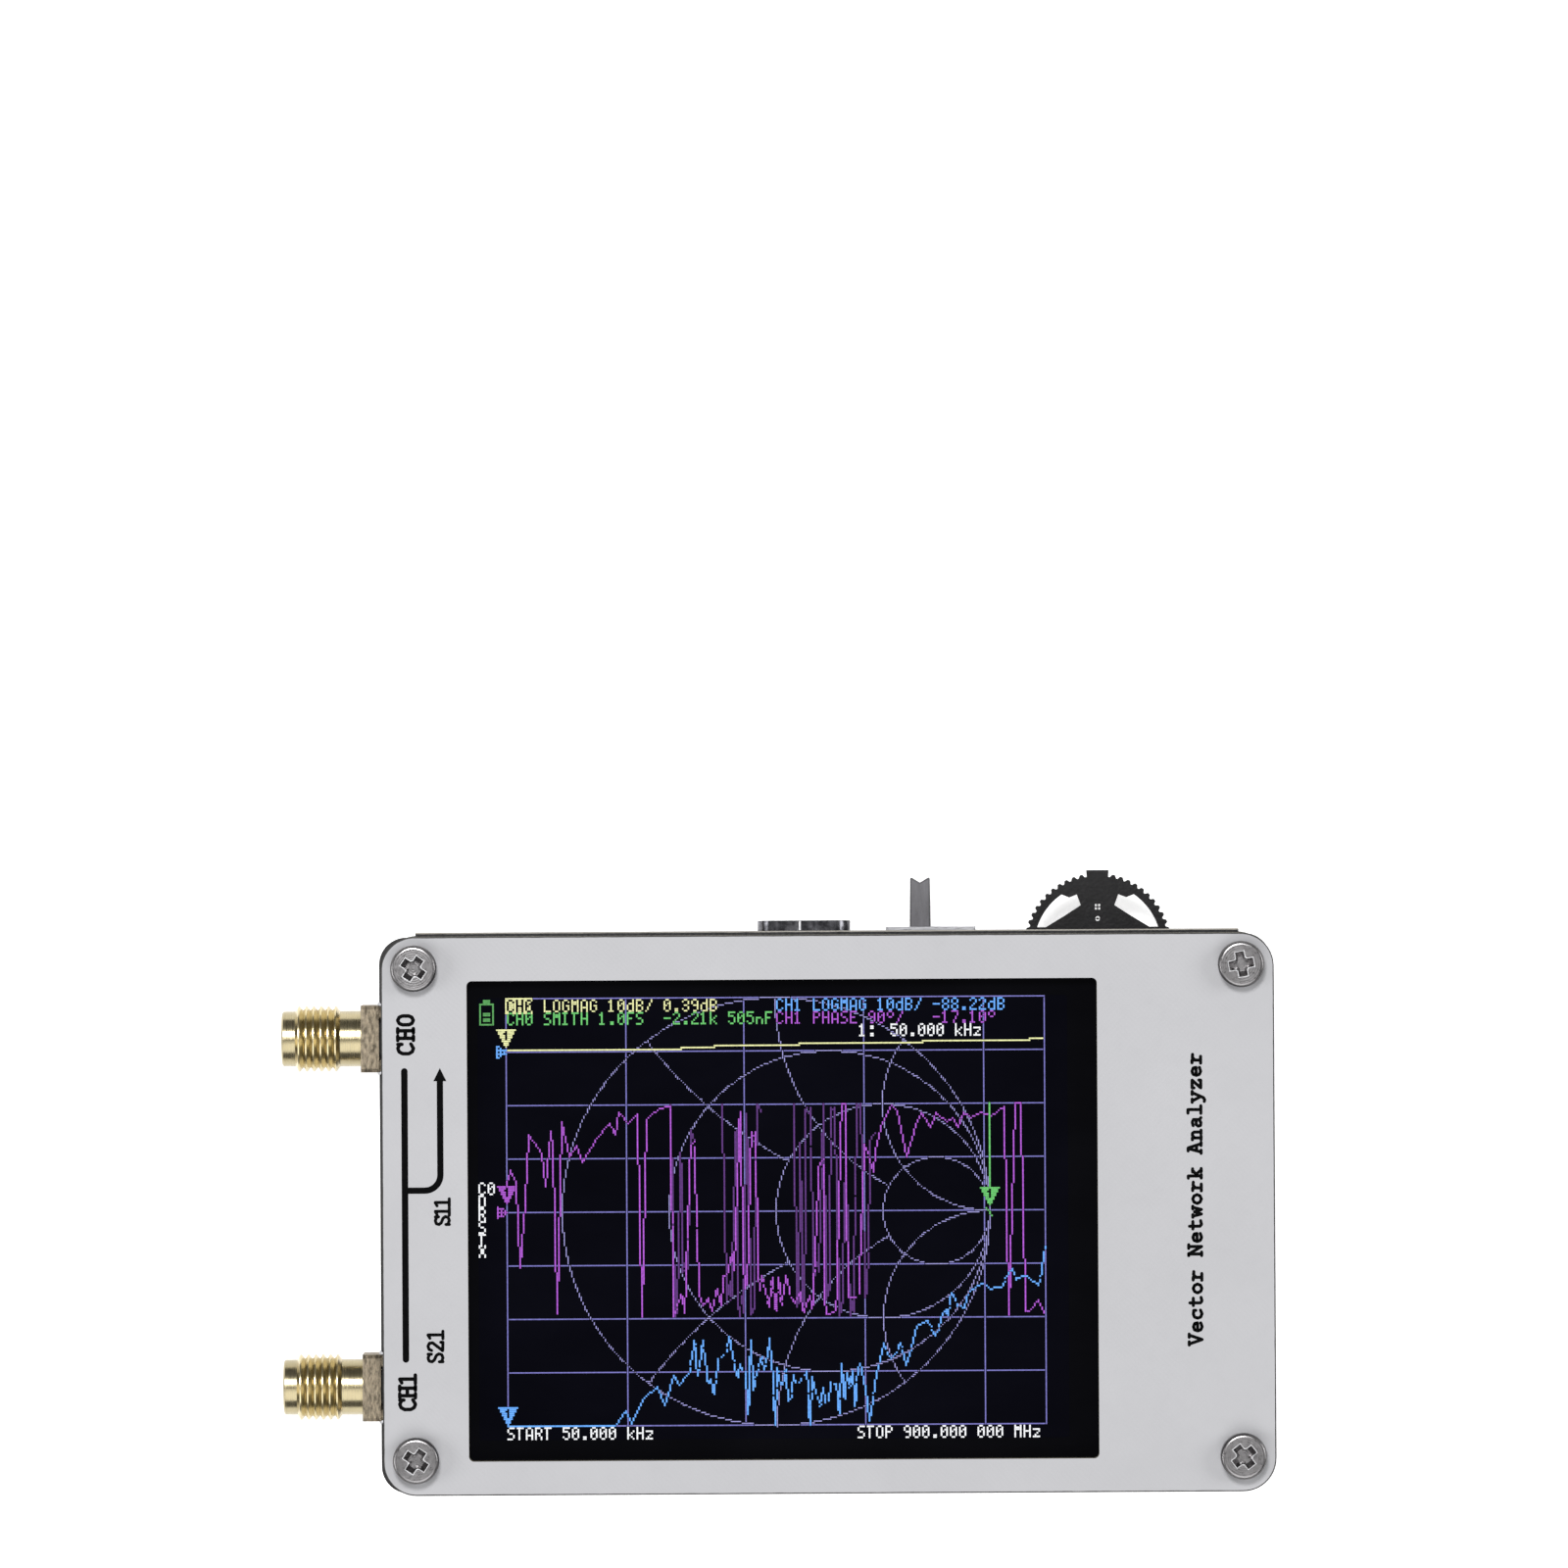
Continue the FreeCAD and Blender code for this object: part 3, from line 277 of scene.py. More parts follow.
def laminate(name, mask, edge, outline, bare, gloss=(0.36, 0.5)):
    """Fibreglass board: solder mask with the weave just showing, and bare layered cut edges.

    The outline is the board's x0, y0, x1, y1 and corner radius, in millimetres. The mask stops
    just short of the routed edge, where the bare colour shows: painted shade on the grey panels.
    """
    material, tree, bsdf, where = new_material(name)
    axes = split(tree, where)
    facing = split(tree, put(tree, "ShaderNodeNewGeometry").outputs["Normal"])
    cut = calc(tree, "LESS_THAN", calc(tree, "ABSOLUTE", facing["Z"]), 0.5)
    warp, weft = (ridges(tree, axes[axis], CLOTH_PITCH) for axis in "XY")
    cloth = calc(tree, "MULTIPLY", warp, weft)
    layers = ridges(tree, axes["Z"], LAYER_PITCH)
    fibre = noise(tree, where, 6000, 3, 0.6, (1, 1, 3))
    masked = ramp(tree, noise(tree, where, 90, 4), shade(mask, 0.975), shade(mask, 1.02))
    ragged = calc(tree, "MULTIPLY", noise(tree, where, 900, 3), RAGGED)
    near_edge = calc(tree, "ADD", past_outline(tree, axes, *outline), ragged)
    rim = calc(tree, "GREATER_THAN", near_edge, (outline[-1] - BARE_WIDTH) * MM)
    rough_cut = calc(tree, "ADD", calc(tree, "MULTIPLY", layers, 0.18), fibre)
    edge_colour = ramp(tree, rough_cut, shade(edge, 0.72), shade(edge, 1.15), 0.25, 0.8)
    glossy = remap(tree, noise(tree, where, 800, 3), *gloss)
    skin = bump(tree, cloth, 0.000006, 0.35)
    skin = bump(tree, noise(tree, where, 3500, 2), 0.000008, 0.8, skin)
    wire(tree, bsdf, mix(tree, cut, mix(tree, rim, masked, bare), edge_colour),
         calc(tree, "MAXIMUM", glossy, calc(tree, "MULTIPLY", cut, 0.75)),
         bump(tree, calc(tree, "MULTIPLY", rough_cut, cut), 0.00003, 1.0, skin))
    return material


def turned_heads(name, colour):
    """Screw heads: turning rings about each axis, small scratches, and a painted shade ring darkening the
    rim.
    """
    material, tree, bsdf, where = new_material(name)
    axes = split(tree, where)
    aside, along = (from_centre(tree, axes[axis], centre)
                    for axis, centre in (("X", CENTRE_X), ("Y", CENTRE_Y + SCREW_MID_Y * MM)))
    far = magnitude(tree, calc(tree, "SUBTRACT", aside, SCREW_X * MM),
                 calc(tree, "SUBTRACT", along, SCREW_Y * MM))
    wear = noise(tree, where, 2600, 4, 0.6)
    base = ramp(tree, wear, shade(colour, 0.9), shade(colour, 1.08))
    # painted shade: the outer edge of each head darkened towards 0.12 of its colour, a dark outline round
    # the rim
    painted_rim_shade = remap(tree, far, 0.0, 0.85, (SCREW_R - 0.2) * MM, (SCREW_R - 0.04) * MM)
    scratches = bump(tree, noise(tree, where, 5000, 3), 0.000002)
    wire(tree, bsdf, mix(tree, painted_rim_shade, base, shade(colour, 0.12)), remap(tree, wear, 0.26, 0.34),
         bump(tree, ridges(tree, far, 0.00022), 0.000002, 1.0, scratches), METAL)
    return material


FLANGE_T = 1.75  # thickness of the ports' flanges, in millimetres
THREAD_SPAN = [node_mm("port_ch0_shell")[0] + along for along in (1.3, 5.6)]


def port_gold(name, colour, cast):
    """Gold plate: turning rings on the barrel, a sandy cast skin on the flange, and painted light: the
    barrel painted darker and the threads painted brighter than the same plate.
    """
    material, tree, bsdf, where = new_material(name)
    along = split(tree, where)["X"]
    on_flange = calc(tree, "GREATER_THAN", along, CENTRE_X + (BOARD[0] - FLANGE_T) * MM)
    first, last = THREAD_SPAN
    from_middle = from_centre(tree, along, CENTRE_X + (first + last) / 2 * MM)
    on_thread = calc(tree, "LESS_THAN", from_middle, (last - first) / 2 * MM)
    rings = noise(tree, where, 700, 2, 0.5, (16, 0.25, 0.25))
    sand = noise(tree, where, 2600, 4, 0.7, (1.3, 0.4, 0.4))
    tint = noise(tree, where, 420, 4)
    # painted shade on the barrel and painted highlight on the threads: one plate in a darker and a
    # brighter copy
    painted_barrel_shade = ramp(tree, tint, shade(colour, 0.72), shade(colour, 0.9))
    painted_thread_highlight = ramp(tree, tint, shade(colour, 1.15), shade(colour, 1.4))
    sandy = ramp(tree, sand, shade(cast, 0.4), shade(cast, 1.6), 0.36, 0.64)
    dull = calc(tree, "MULTIPLY", remap(tree, sand, 0.42, 0.62), on_flange)
    grit = calc(tree, "MULTIPLY", sand, on_flange)
    wire(tree, bsdf, mix(tree, on_flange, mix(tree, on_thread, painted_barrel_shade, painted_thread_highlight), sandy),
         calc(tree, "MAXIMUM", remap(tree, rings, 0.19, 0.3), dull),
         bump(tree, grit, 0.00012, 1.0, bump(tree, rings, 0.0000025)), METAL)
    return material


LEVER_HALF, NOTCH, LEVER_EDGE = 0.95, 0.5, 0.13  # half width, depth of its end notch, rounding, in mm


def lever_plastic(name, colour):
    """Moulded lever: paler flat, with painted shade darkening its rounded edges down its sides and along
    its notch.
    """
    x0, _, _, x1, y1, _ = node_mm("power_slider")
    material, tree, bsdf, where = new_material(name)
    axes = split(tree, where)
    aside = from_centre(tree, axes["X"], CENTRE_X + (x0 + x1) / 2 * MM)
    slope = calc(tree, "MULTIPLY", aside, NOTCH / LEVER_HALF)
    notch_y = calc(tree, "ADD", slope, CENTRE_Y + (y1 - NOTCH) * MM)
    inset = calc(tree, "MINIMUM", calc(tree, "SUBTRACT", notch_y, axes["Y"]),
                 calc(tree, "SUBTRACT", LEVER_HALF * MM, aside))
    streak = noise(tree, where, 900, 4, 0.6, (3, 0.6, 1))
    flat = ramp(tree, streak, shade(colour, 0.82), shade(colour, 1.22))
    # painted shade: the rounded edges and the notch darkened to 0.4 of the lever's colour
    rim = remap(tree, inset, 1.0, 0.0, 0.2 * LEVER_EDGE * MM, 1.4 * LEVER_EDGE * MM)
    wire(tree, bsdf, mix(tree, rim, flat, shade(colour, 0.4)), remap(tree, streak, 0.42, 0.6),
         bump(tree, noise(tree, where, 6000, 2), 0.000015))
    return material


def pouch_foil(name, colour, tape, tape_x):
    """Crinkled laminate foil, with amber tape over the terminal strip past tape_x."""
    material, tree, bsdf, where = new_material(name)
    taped = calc(tree, "GREATER_THAN", split(tree, where)["X"], tape_x)
    crease = noise(tree, where, 260, 4, 0.6)
    foil = ramp(tree, crease, shade(colour, 0.85), shade(colour, 1.06))
    film = ramp(tree, crease, shade(tape, 0.8), shade(tape, 1.15))
    wire(tree, bsdf, mix(tree, taped, foil, film), remap(tree, crease, 0.28, 0.45),
         bump(tree, crease, 0.00006), {"Metallic": calc(tree, "SUBTRACT", 1.0, taped)})
    return material


def screen_glass(name, colour):
    """Glossy dark glass with faint wiping marks."""
    material, tree, bsdf, where = new_material(name)
    smear = noise(tree, where, 60, 5, 0.6, (1, 2.2, 1))
    wire(tree, bsdf, ramp(tree, smear, shade(colour, 0.8), shade(colour, 1.25)),
         remap(tree, smear, 0.05, 0.12), bump(tree, noise(tree, where, 2200, 2), 0.000001),
         {"Specular IOR Level": 0.11})
    return material


def lit(name, colour, level=1.0):
    """Lit picture elements: brightness varies a little from cell to cell."""
    material, tree, bsdf, where = new_material(name)
    cell = noise(tree, where, 4200, 2, 0.5)
    for key, low, high in (("Emission Color", 0.72, 1.12), ("Base Color", 0.05, 0.08)):
        tree.links.new(ramp(tree, cell, shade(colour, low), shade(colour, high)), bsdf.inputs[key])
    bsdf.inputs["Emission Strength"].default_value = level
    bsdf.inputs["Roughness"].default_value = 0.3
    return material


PANEL_CORNER = 3.2
# The main board has a bare strip on its top edge only: this outline runs past the other three
BOARD_STRIP = (BOARD[0] - 2, BOARD[1] - 2, BOARD[3] + 2, BOARD[4], 1.0)
# The grey panels' bare strip, srgb(44, 43, 42), is painted shade: a dark line along their routed edge,
# darker than their own cut edge.
GREY_MASK = laminate("grey_solder_mask", srgb(182, 182, 185), srgb(130, 124, 108),
                     (-EDGE_X, -EDGE_Y, EDGE_X, EDGE_Y, PANEL_CORNER), srgb(44, 43, 42))
BLACK_MASK = laminate("black_solder_mask", srgb(16, 16, 18), srgb(46, 43, 37),
                      BOARD_STRIP, srgb(176, 172, 164), (0.3, 0.44))
STEEL = turned_heads("turned_steel", srgb(143, 141, 142))
BRASS = plated("standoff_brass", srgb(206, 178, 118), (0.22, 0.4), (1, 1, 14), 900, 0.000006)
PORT_GOLD = port_gold("port_gold", srgb(180, 168, 134), srgb(148, 137, 119))
GOLD = plated("contact_gold", srgb(214, 190, 132), (0.16, 0.3), (1, 1, 1), 1500, 0.000003)
# The USB shell's dark patches, srgb(40, 40, 44), are painted dark reflection.
STEEL_SHELL = plated("stainless_shell", srgb(124, 124, 129), (0.16, 0.32), (1, 0.2, 6), 1200, 0.000008,
                     srgb(40, 40, 44), (0.42, 0.62))
TIN = plated("tin_plate", srgb(190, 190, 194), (0.25, 0.42), (1, 12, 1), 900, 0.000006,
             srgb(90, 88, 90), (0.6, 0.9))
LEAD_TIN = plated("lead_tin", srgb(190, 190, 192), (0.25, 0.45), (1, 1, 1), 4000, 0.000005)
WHEEL_PLASTIC = moulded("wheel_plastic", srgb(18, 17, 19), (0.4, 0.6), 3200, 0.00003, 0.35, 0.25)
BLACK_PLASTIC = moulded("black_plastic", srgb(20, 20, 22), (0.4, 0.6), specular=0.4)
LEVER_PLASTIC = lever_plastic("lever_plastic", srgb(101, 100, 104))
EPOXY = moulded("chip_epoxy", srgb(26, 26, 27), (0.55, 0.72), 12000, 0.00001, 0.2, 0.4)
WHITE_NYLON = moulded("white_nylon", srgb(214, 210, 196), (0.4, 0.55), 5000, 0.000008, 0.05)
FRAME_WHITE = moulded("frame_white", srgb(205, 205, 203), (0.35, 0.5), 5000, 0.000008, 0.04)
PTFE = moulded("ptfe", srgb(222, 222, 216), (0.3, 0.45), 3000, 0.000006, 0.04)
FOAM = moulded("foam_tape", srgb(30, 30, 32), (0.85, 0.98), 5000, 0.00006, 0.25, 0.2)
FLEX = moulded("polyimide", srgb(168, 104, 30), (0.2, 0.35), 1500, 0.000004, 0.12)
GLASS_EDGE = screen_glass("panel_glass", srgb(6, 6, 9))
FIELD = screen_glass("display_field", srgb(5, 5, 12))
INK = moulded("black_ink", srgb(4, 4, 5), (0.6, 0.75), 8000, 0.000006, 0.3, 0.05)
CERAMIC = moulded("capacitor_ceramic", srgb(140, 108, 76), (0.45, 0.6), 7000, 0.000008, 0.12)
RESISTIVE = moulded("resistor_glaze", srgb(20, 20, 25), (0.3, 0.45), 7000, 0.000006, 0.2)
FERRITE = moulded("ferrite", srgb(50, 50, 52), (0.6, 0.8), 9000, 0.00002, 0.2, 0.35)
LAMP = moulded("lamp_resin", srgb(216, 204, 150), (0.15, 0.25), 3000, 0.000004, 0.08)
POUCH = pouch_foil("pouch_foil", srgb(188, 190, 194), srgb(176, 120, 40),
                   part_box("battery_cell")[1].x - 0.003)
SOLDER = plated("solder", srgb(200, 200, 204), (0.14, 0.3), (1, 1, 1), 1800, 0.000012)
# painted highlight round the front screws' cross recesses
PAINTED_RECESS_HIGHLIGHT = plated("steel_painted_highlight", srgb(205, 205, 207), (0.36, 0.5), (1, 1, 1), 2600, 0.00001,
                   srgb(120, 120, 122), (0.5, 0.7))
# painted highlight along the USB shell's seam
PAINTED_SEAM_HIGHLIGHT = plated("seam_painted_highlight", srgb(236, 236, 238), (0.5, 0.65), (1, 1, 1), 3000, 0.00001)
RED_LEAD = moulded("red_covering", srgb(170, 22, 20), (0.35, 0.5), 5000, 0.000008, 0.1)

CAD_LOOKS = {
    GREY_MASK: ["front_panel", "rear_panel"],
    BLACK_MASK: ["main_board"],
    STEEL: ["front_screws", "rear_screws"],
    BRASS: ["front_standoffs", "rear_standoffs"],
    FOAM: ["lcd_tape", "battery_tape"],
    FRAME_WHITE: ["lcd_backlight"],
    GLASS_EDGE: ["lcd_cell", "touch_panel"],
    FLEX: ["lcd_flex"],
    WHITE_NYLON: ["lcd_connector", "battery_connector", "battery_plug"],
    PORT_GOLD: ["port_ch0_shell", "port_ch1_shell"],
    GOLD: ["port_ch0_contact", "port_ch1_contact", "usb_contacts"],
    PTFE: ["port_ch0_insulator", "port_ch1_insulator"],
    STEEL_SHELL: ["usb_shell"],
    TIN: ["power_switch_case", "jog_cover"],
    LEAD_TIN: ["power_switch_pins", "jog_terminals", "mcu_leads", "clock_leads", "mixer_leads",
               "charger_leads", "crystals"],
    BLACK_PLASTIC: ["usb_tongue", "power_switch_base", "jog_base", "jog_carriage"],
    LEVER_PLASTIC: ["power_slider"],
    WHEEL_PLASTIC: ["jog_wheel"],
    EPOXY: ["mcu_package", "codec_package", "clock_package", "mixer_packages", "charger_package"],
    CERAMIC: ["chip_capacitors"],
    RESISTIVE: ["chip_resistors"],
    FERRITE: ["power_inductor"],
    LAMP: ["status_leds"],
    POUCH: ["battery_cell"],
    RED_LEAD: ["battery_leads"],
}
for look, names in CAD_LOOKS.items():
    for name in names:
        NODES[name].data.materials.clear()
        NODES[name].data.materials.append(look)


# ===== mesh helpers
def from_bmesh(name, bm, material, body, smooth=False):
    """Makes a new piece of a mesh: it rides a body and takes the given material."""
    bmesh.ops.recalc_face_normals(bm, faces=bm.faces)
    mesh = bpy.data.meshes.new(name)
    bm.to_mesh(mesh)
    bm.free()
    for polygon in mesh.polygons:
        polygon.use_smooth = smooth
    mesh.materials.append(material)
    obj = bpy.data.objects.new(name, mesh)
    bpy.context.scene.collection.objects.link(obj)
    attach(obj, body)


def join_rings(bm, low, high):
    """Side faces between two rings of as many vertices."""
    for i in range(len(low)):
        j = (i + 1) % len(low)
        bm.faces.new((low[i], low[j], high[j], high[i]))


def add_prism(bm, outline, z0, z1):
    """A closed prism on an outline of (x, y) points in millimetres about the panel's middle."""
    low = [bm.verts.new(at(x, y, z0)) for x, y in outline]
    high = [bm.verts.new(at(x, y, z1)) for x, y in outline]
    bm.faces.new(low[::-1])
    bm.faces.new(high)
    join_rings(bm, low, high)


def add_box(bm, x0, y0, z0, x1, y1, z1):
    """A closed box between two corners."""
    add_prism(bm, [(x0, y0), (x1, y0), (x1, y1), (x0, y1)], z0, z1)


def ribbon(points, width):
    """Outline of a flat stroke of constant width along a polyline."""
    left, right = [], []
    for i, (x, y) in enumerate(points):
        before = points[max(i - 1, 0)]
        after = points[min(i + 1, len(points) - 1)]
        tx, ty = after[0] - before[0], after[1] - before[1]
        length = math.hypot(tx, ty) or 1.0
        nx, ny = -ty / length * width / 2, tx / length * width / 2
        left.append((x + nx, y + ny))
        right.append((x - nx, y - ny))
    return left + right[::-1]


def arc(cx, cy, r, start, end, steps):
    """Points on an arc between two angles in degrees."""
    turns = [math.radians(start + (end - start) * i / steps) for i in range(steps + 1)]
    return [(cx + r * math.cos(a), cy + r * math.sin(a)) for a in turns]


def disc(cx, cy, r, sides=12):
    """Outline of a full circle."""
    return arc(cx, cy, r, 0, 360 * (sides - 1) / sides, sides - 1)


def rounded(x0, y0, x1, y1, r, steps):
    """Outline of a rectangle with round corners."""
    return (arc(x1 - r, y1 - r, r, 0, 90, steps) + arc(x0 + r, y1 - r, r, 90, 180, steps)
            + arc(x0 + r, y0 + r, r, 180, 270, steps) + arc(x1 - r, y0 + r, r, 270, 360, steps))


# ===== the lit screen
# Places on it are counted in its own picture elements, from the left and from the top
LCD_W, LCD_H, DOT = 320, 240, 0.1767  # elements across and down, and their pitch in mm
LCD_X0, LCD_Y1 = -33.38, 20.86  # left edge of column 0 and top edge of row 0, in mm
FIRST = -1  # number of the leftmost column
GRID_X0, GRID_STEP, GRID_X1 = 14, 64.7, 306
ROW, ROWS = 29, 8
SMITH = (160.0, 116.2, 116.0)  # centre and radius of the chart
MARK_X = 276  # column of the chart's marker
random.seed(20240917)

# Rows of a 4 x 7 face: one hexadecimal digit a row, the high bit leftmost
FACE = {
    "A": "6999F99", "B": "E99E99E", "C": "6988896", "D": "E99999E", "E": "F88E88F", "F": "F88E888",
    "G": "698B996", "H": "999F999", "I": "E44444E", "L": "888888F", "M": "9FF9999", "O": "6999996",
    "P": "E99E888", "R": "E99EA99", "S": "788611E", "T": "F444444", "X": "9966699", "z": "00F124F",
    "n": "000E999", "°": "6996000", "k": "889ACA9", "d": "1179997", "0": "69BD996", "1": "4C4444E",
    "2": "691248F", "3": "6916196", "5": "F8E1196", "7": "F112244", "8": "6996996", "9": "6997116",
    ".": "0000066", "/": "1122448", "-": "000F000", ":": "0660066",
}
FACE_W, FACE_H = 4, 7
cells = {}  # column and row of each lit element: its colour's name


def dot(x, y, colour):
    """Lights one element, unless it is off the screen."""
    x, y = int(round(x)), int(round(y))
    if FIRST <= x < FIRST + LCD_W and 0 <= y < LCD_H:
        cells[x, y] = colour


def write(text, x, y, colour, inverse=0):
    """A line of text; the first `inverse` letters are dark on a lit bar."""
    for index, letter in enumerate(text):
        left = x + index * (FACE_W + 1)
        if index < inverse:
            for dx in range(-1, FACE_W):
                for dy in range(-1, FACE_H + 1):
                    dot(left + dx, y + dy, colour)
        for dy, row in enumerate(FACE.get(letter, "")):
            for dx in range(FACE_W):
                if int(row, 16) >> (FACE_W - 1 - dx) & 1:
                    if index < inverse:
                        cells.pop((left + dx, y + dy), None)
                    else:
                        dot(left + dx, y + dy, colour)


def line(x0, y0, x1, y1, colour):
    """The elements of a straight line, both ends included."""
    steps = max(1, int(max(abs(x1 - x0), abs(y1 - y0))))
    for i in range(steps + 1):
        dot(x0 + (x1 - x0) * i / steps, y0 + (y1 - y0) * i / steps, colour)


def ring(cx, cy, r, colour, keep):
    """The elements of a circle that keep(x, y) accepts."""
    steps = int(2 * math.pi * r * 1.3)  # steps shorter than an element
    for i in range(steps):
        x = cx + r * math.cos(2 * math.pi * i / steps)
        y = cy + r * math.sin(2 * math.pi * i / steps)
        if keep(x, y):
            dot(x, y, colour)


def marker(x, tip_y, colour, half=5, rows=9):
    """A flag that points down at a trace, with a 1 cut out of it."""
    for k in range(rows + 1):
        reach = int(round(half * (1 - k / rows)))
        for dx in range(-reach, reach + 1):
            dot(x + dx, tip_y - rows + k, colour)
    for dx, dy in ((0, 1), (0, 2), (0, 3), (0, 4), (0, 5), (-1, 2)):
        cells.pop((x + dx, tip_y - rows + dy), None)


def draw_grid():
    """Eight rows, and columns of which the last one is cut short."""
    for k in range(ROWS + 1):
        line(GRID_X0, k * ROW, GRID_X1, k * ROW, "grid")
    for x in [GRID_X0 + k * GRID_STEP for k in range(5)] + [GRID_X1]:
        line(x, 0, x, ROWS * ROW, "grid")


def draw_smith():
    """Circles of resistance that touch at the chart's right end, and arcs of reactance cut off by them."""
    cx, cy, big = SMITH
    right = cx + big

    def inside(x, y, r):
        """Within the resistance circle of radius r, which touches the chart's right end."""
        return math.hypot(x - (right - r), y - cy) <= r + 0.4

    ring(cx, cy, big, "chart", lambda x, y: True)
    for share in (0.75, 0.5, 0.25):
        ring(right - big * share, cy, big * share, "chart", lambda x, y: True)
    for r, clear in ((big / 2, 0), (big, big / 4), (2 * big, big / 2)):
        for side in (-1, 1):
            ring(right, cy + side * r, r, "chart",
                 lambda x, y: inside(x, y, big) and not (clear and inside(x, y, clear)))


def polyline(knots, colour):
    """Straight lines from knot to knot."""
    for (x0, y0), (x1, y1) in zip(knots, knots[1:]):
        line(x0, y0, x1, y1, colour)


# Phase: quiet stretches given as listed points, on each side of three that are full of wraps
PHASE_TOP, PHASE_BOTTOM = 58, 173
WRAPS = ((103, 119), (131, 155), (170, 213))
LOW_SPREAD, HIGH_SPREAD = 26, 34  # how far short of the two limits a wrap may turn
PHASE_START = [(14, 101), (16, 93), (19, 100), (21, 146), (24, 110), (26, 74), (33, 84), (35, 102),
               (38, 72), (39, 80), (41, 171), (44, 67), (48, 86), (52, 80), (55, 89), (63, 76), (70, 68),
               (73, 74), (75, 62), (80, 68), (85, 63), (87, 173), (90, 66), (94, 62), (100, 59), (103, 59)]
PHASE_END = [(213, 95), (214, 83), (218, 68), (223, 59), (226, 62), (231, 87), (236, 70), (239, 63),
             (244, 71), (247, 63), (253, 68), (256, 66), (259, 71), (262, 63), (266, 66), (271, 63),
             (277, 65), (284, 60), (286, 173), (290, 58), (293, 58), (295, 171), (297, 171), (302, 165),
             (305, 172)]
# The other port's level: its noise floor, and its climb with frequency
FLOOR_Y = 232
THROUGH_START = [(14, FLOOR_Y), (72, FLOOR_Y), (78, 224), (81, 231), (87, 218), (95, 211), (99, 221),
                 (104, 205), (107, 210), (111, 205)]
THROUGH_END = [(210, 230), (214, 204), (218, 188), (222, 196), (227, 188), (230, 200), (236, 179),
               (242, 176), (246, 184), (250, 172), (253, 173), (255, 161), (262, 169), (265, 160),
               (271, 156), (276, 159), (282, 158), (288, 148), (290, 154), (296, 152), (302, 157),
               (304, 149), (306, 136)]


def draw_wraps(x, y, end, colour, gap):
    """The trace runs nearly upright from limit to limit, again and again; returns its last point."""
    while x < end - gap:
        low = PHASE_BOTTOM - random.random() ** 2 * LOW_SPREAD
        high = PHASE_TOP + random.random() ** 2 * HIGH_SPREAD
        drop, hold = random.choice((1, 2, 2)), random.uniform(0.2, 1.0) * gap
        knots = [(x, y), (x + drop, low), (x + drop + hold * 0.5, low - random.uniform(0, 14)),
                 (x + drop + hold * 0.7, low - 2), (x + 2 * drop + hold, high)]
        polyline(knots, colour)
        x, y = knots[-1]
        if random.random() < 0.5:
            line(x, y, x + 2, max(PHASE_TOP, y + random.uniform(-6, 10)), colour)
            x += 2
    return x, y


def draw_phase():
    """Bright wraps over dim ones, with stretches between them near the lower limit."""
    for start, end in WRAPS:
        draw_wraps(start, PHASE_TOP, end, "phase_dim", 4.0)
    x, y = PHASE_START[-1]
    for start, end in WRAPS:
        while x < start:
            knot = (x + random.uniform(1.2, 2.6), PHASE_BOTTOM - random.random() * 24)
            line(x, y, *knot, "phase")
            x, y = knot
        x, y = draw_wraps(x, y, end, "phase", 9.0)
    polyline([(x, y), PHASE_END[0]], "phase")
    polyline(PHASE_START, "phase")
    polyline(PHASE_END, "phase")


def draw_through():
    """Noise floor with dips to the bottom, between the listed start and climb."""
    knots, x = list(THROUGH_START), THROUGH_START[-1][0]
    step, middle, swell, spread, deepest, highest = 1.45, 204, 7, 20, 30, 184
    while x < THROUGH_END[0][0] - 3:
        x += step
        level = middle - swell * math.sin((x - 110) / 17) + random.triangular(-spread, spread, 0)
        dip = deepest * random.random() if random.random() < 0.2 else 0
        knots.append((x, max(highest, min(FLOOR_Y, level + dip))))
    for (x0, y0), (x1, y1) in zip(THROUGH_END, THROUGH_END[1:]):
        knots += [(x0, y0), ((x0 + x1) / 2, (y0 + y1) / 2 + random.uniform(-3, 3))]
    polyline(knots + [THROUGH_END[-1]], "through")


def draw_reflection():
    """Nearly total reflection, a shade lower at the top of the band."""
    x, y = GRID_X0, 28
    for run, rise in ((95, 1), (18, 1), (46, 1), (67, 1), (58, 1), (7, 0)):
        line(x, y, x + run, y, "log")
        x, y = x + run, y - rise


def draw_text():
    """The four traces' headings, the marker's frequency, the sweep's ends and the letters at the left."""
    left, right, top, second, marked, foot = 15, 161, 1, 8, 15, 233
    write("CH0 LOGMAG 10dB/ 0.39dB", left, top, "log", 3)
    write("CH0 SMITH 1.0FS  -2.21k 505nF", left, second, "chart_trace")
    write("CH1 LOGMAG 10dB/ -88.22dB", right, top, "through")
    write("CH1 PHASE 90°/   -17.10°", right, second, "phase")
    write("1:", 206, marked, "text")
    write("50.000 kHz", 223, marked, "text")
    write("START 50.000 kHz", GRID_X0, foot, "text")
    write("STOP 900.000 000 MHz", 204, foot, "text")
    for row, letters in enumerate(("C0", "D", "R", "S", "T", "X")):
        write(letters, FIRST, round(100 + row * 6.9), "text")


def draw_battery():
    """An upright cell with two of its bars lit, and its cap."""
    left, right, top, foot = 0, 7, 3, 14
    for y in range(top, foot + 1):
        for x in range(left, right + 1):
            wall = x in (left, right) or y in (top, foot)
            bar = y in (8, 9, 11, 12) and left + 2 <= x <= right - 2
            if wall or bar:
                dot(x, y, "battery")
    for y in (top - 2, top - 1):
        line(left + 2, y, right - 2, y, "battery")


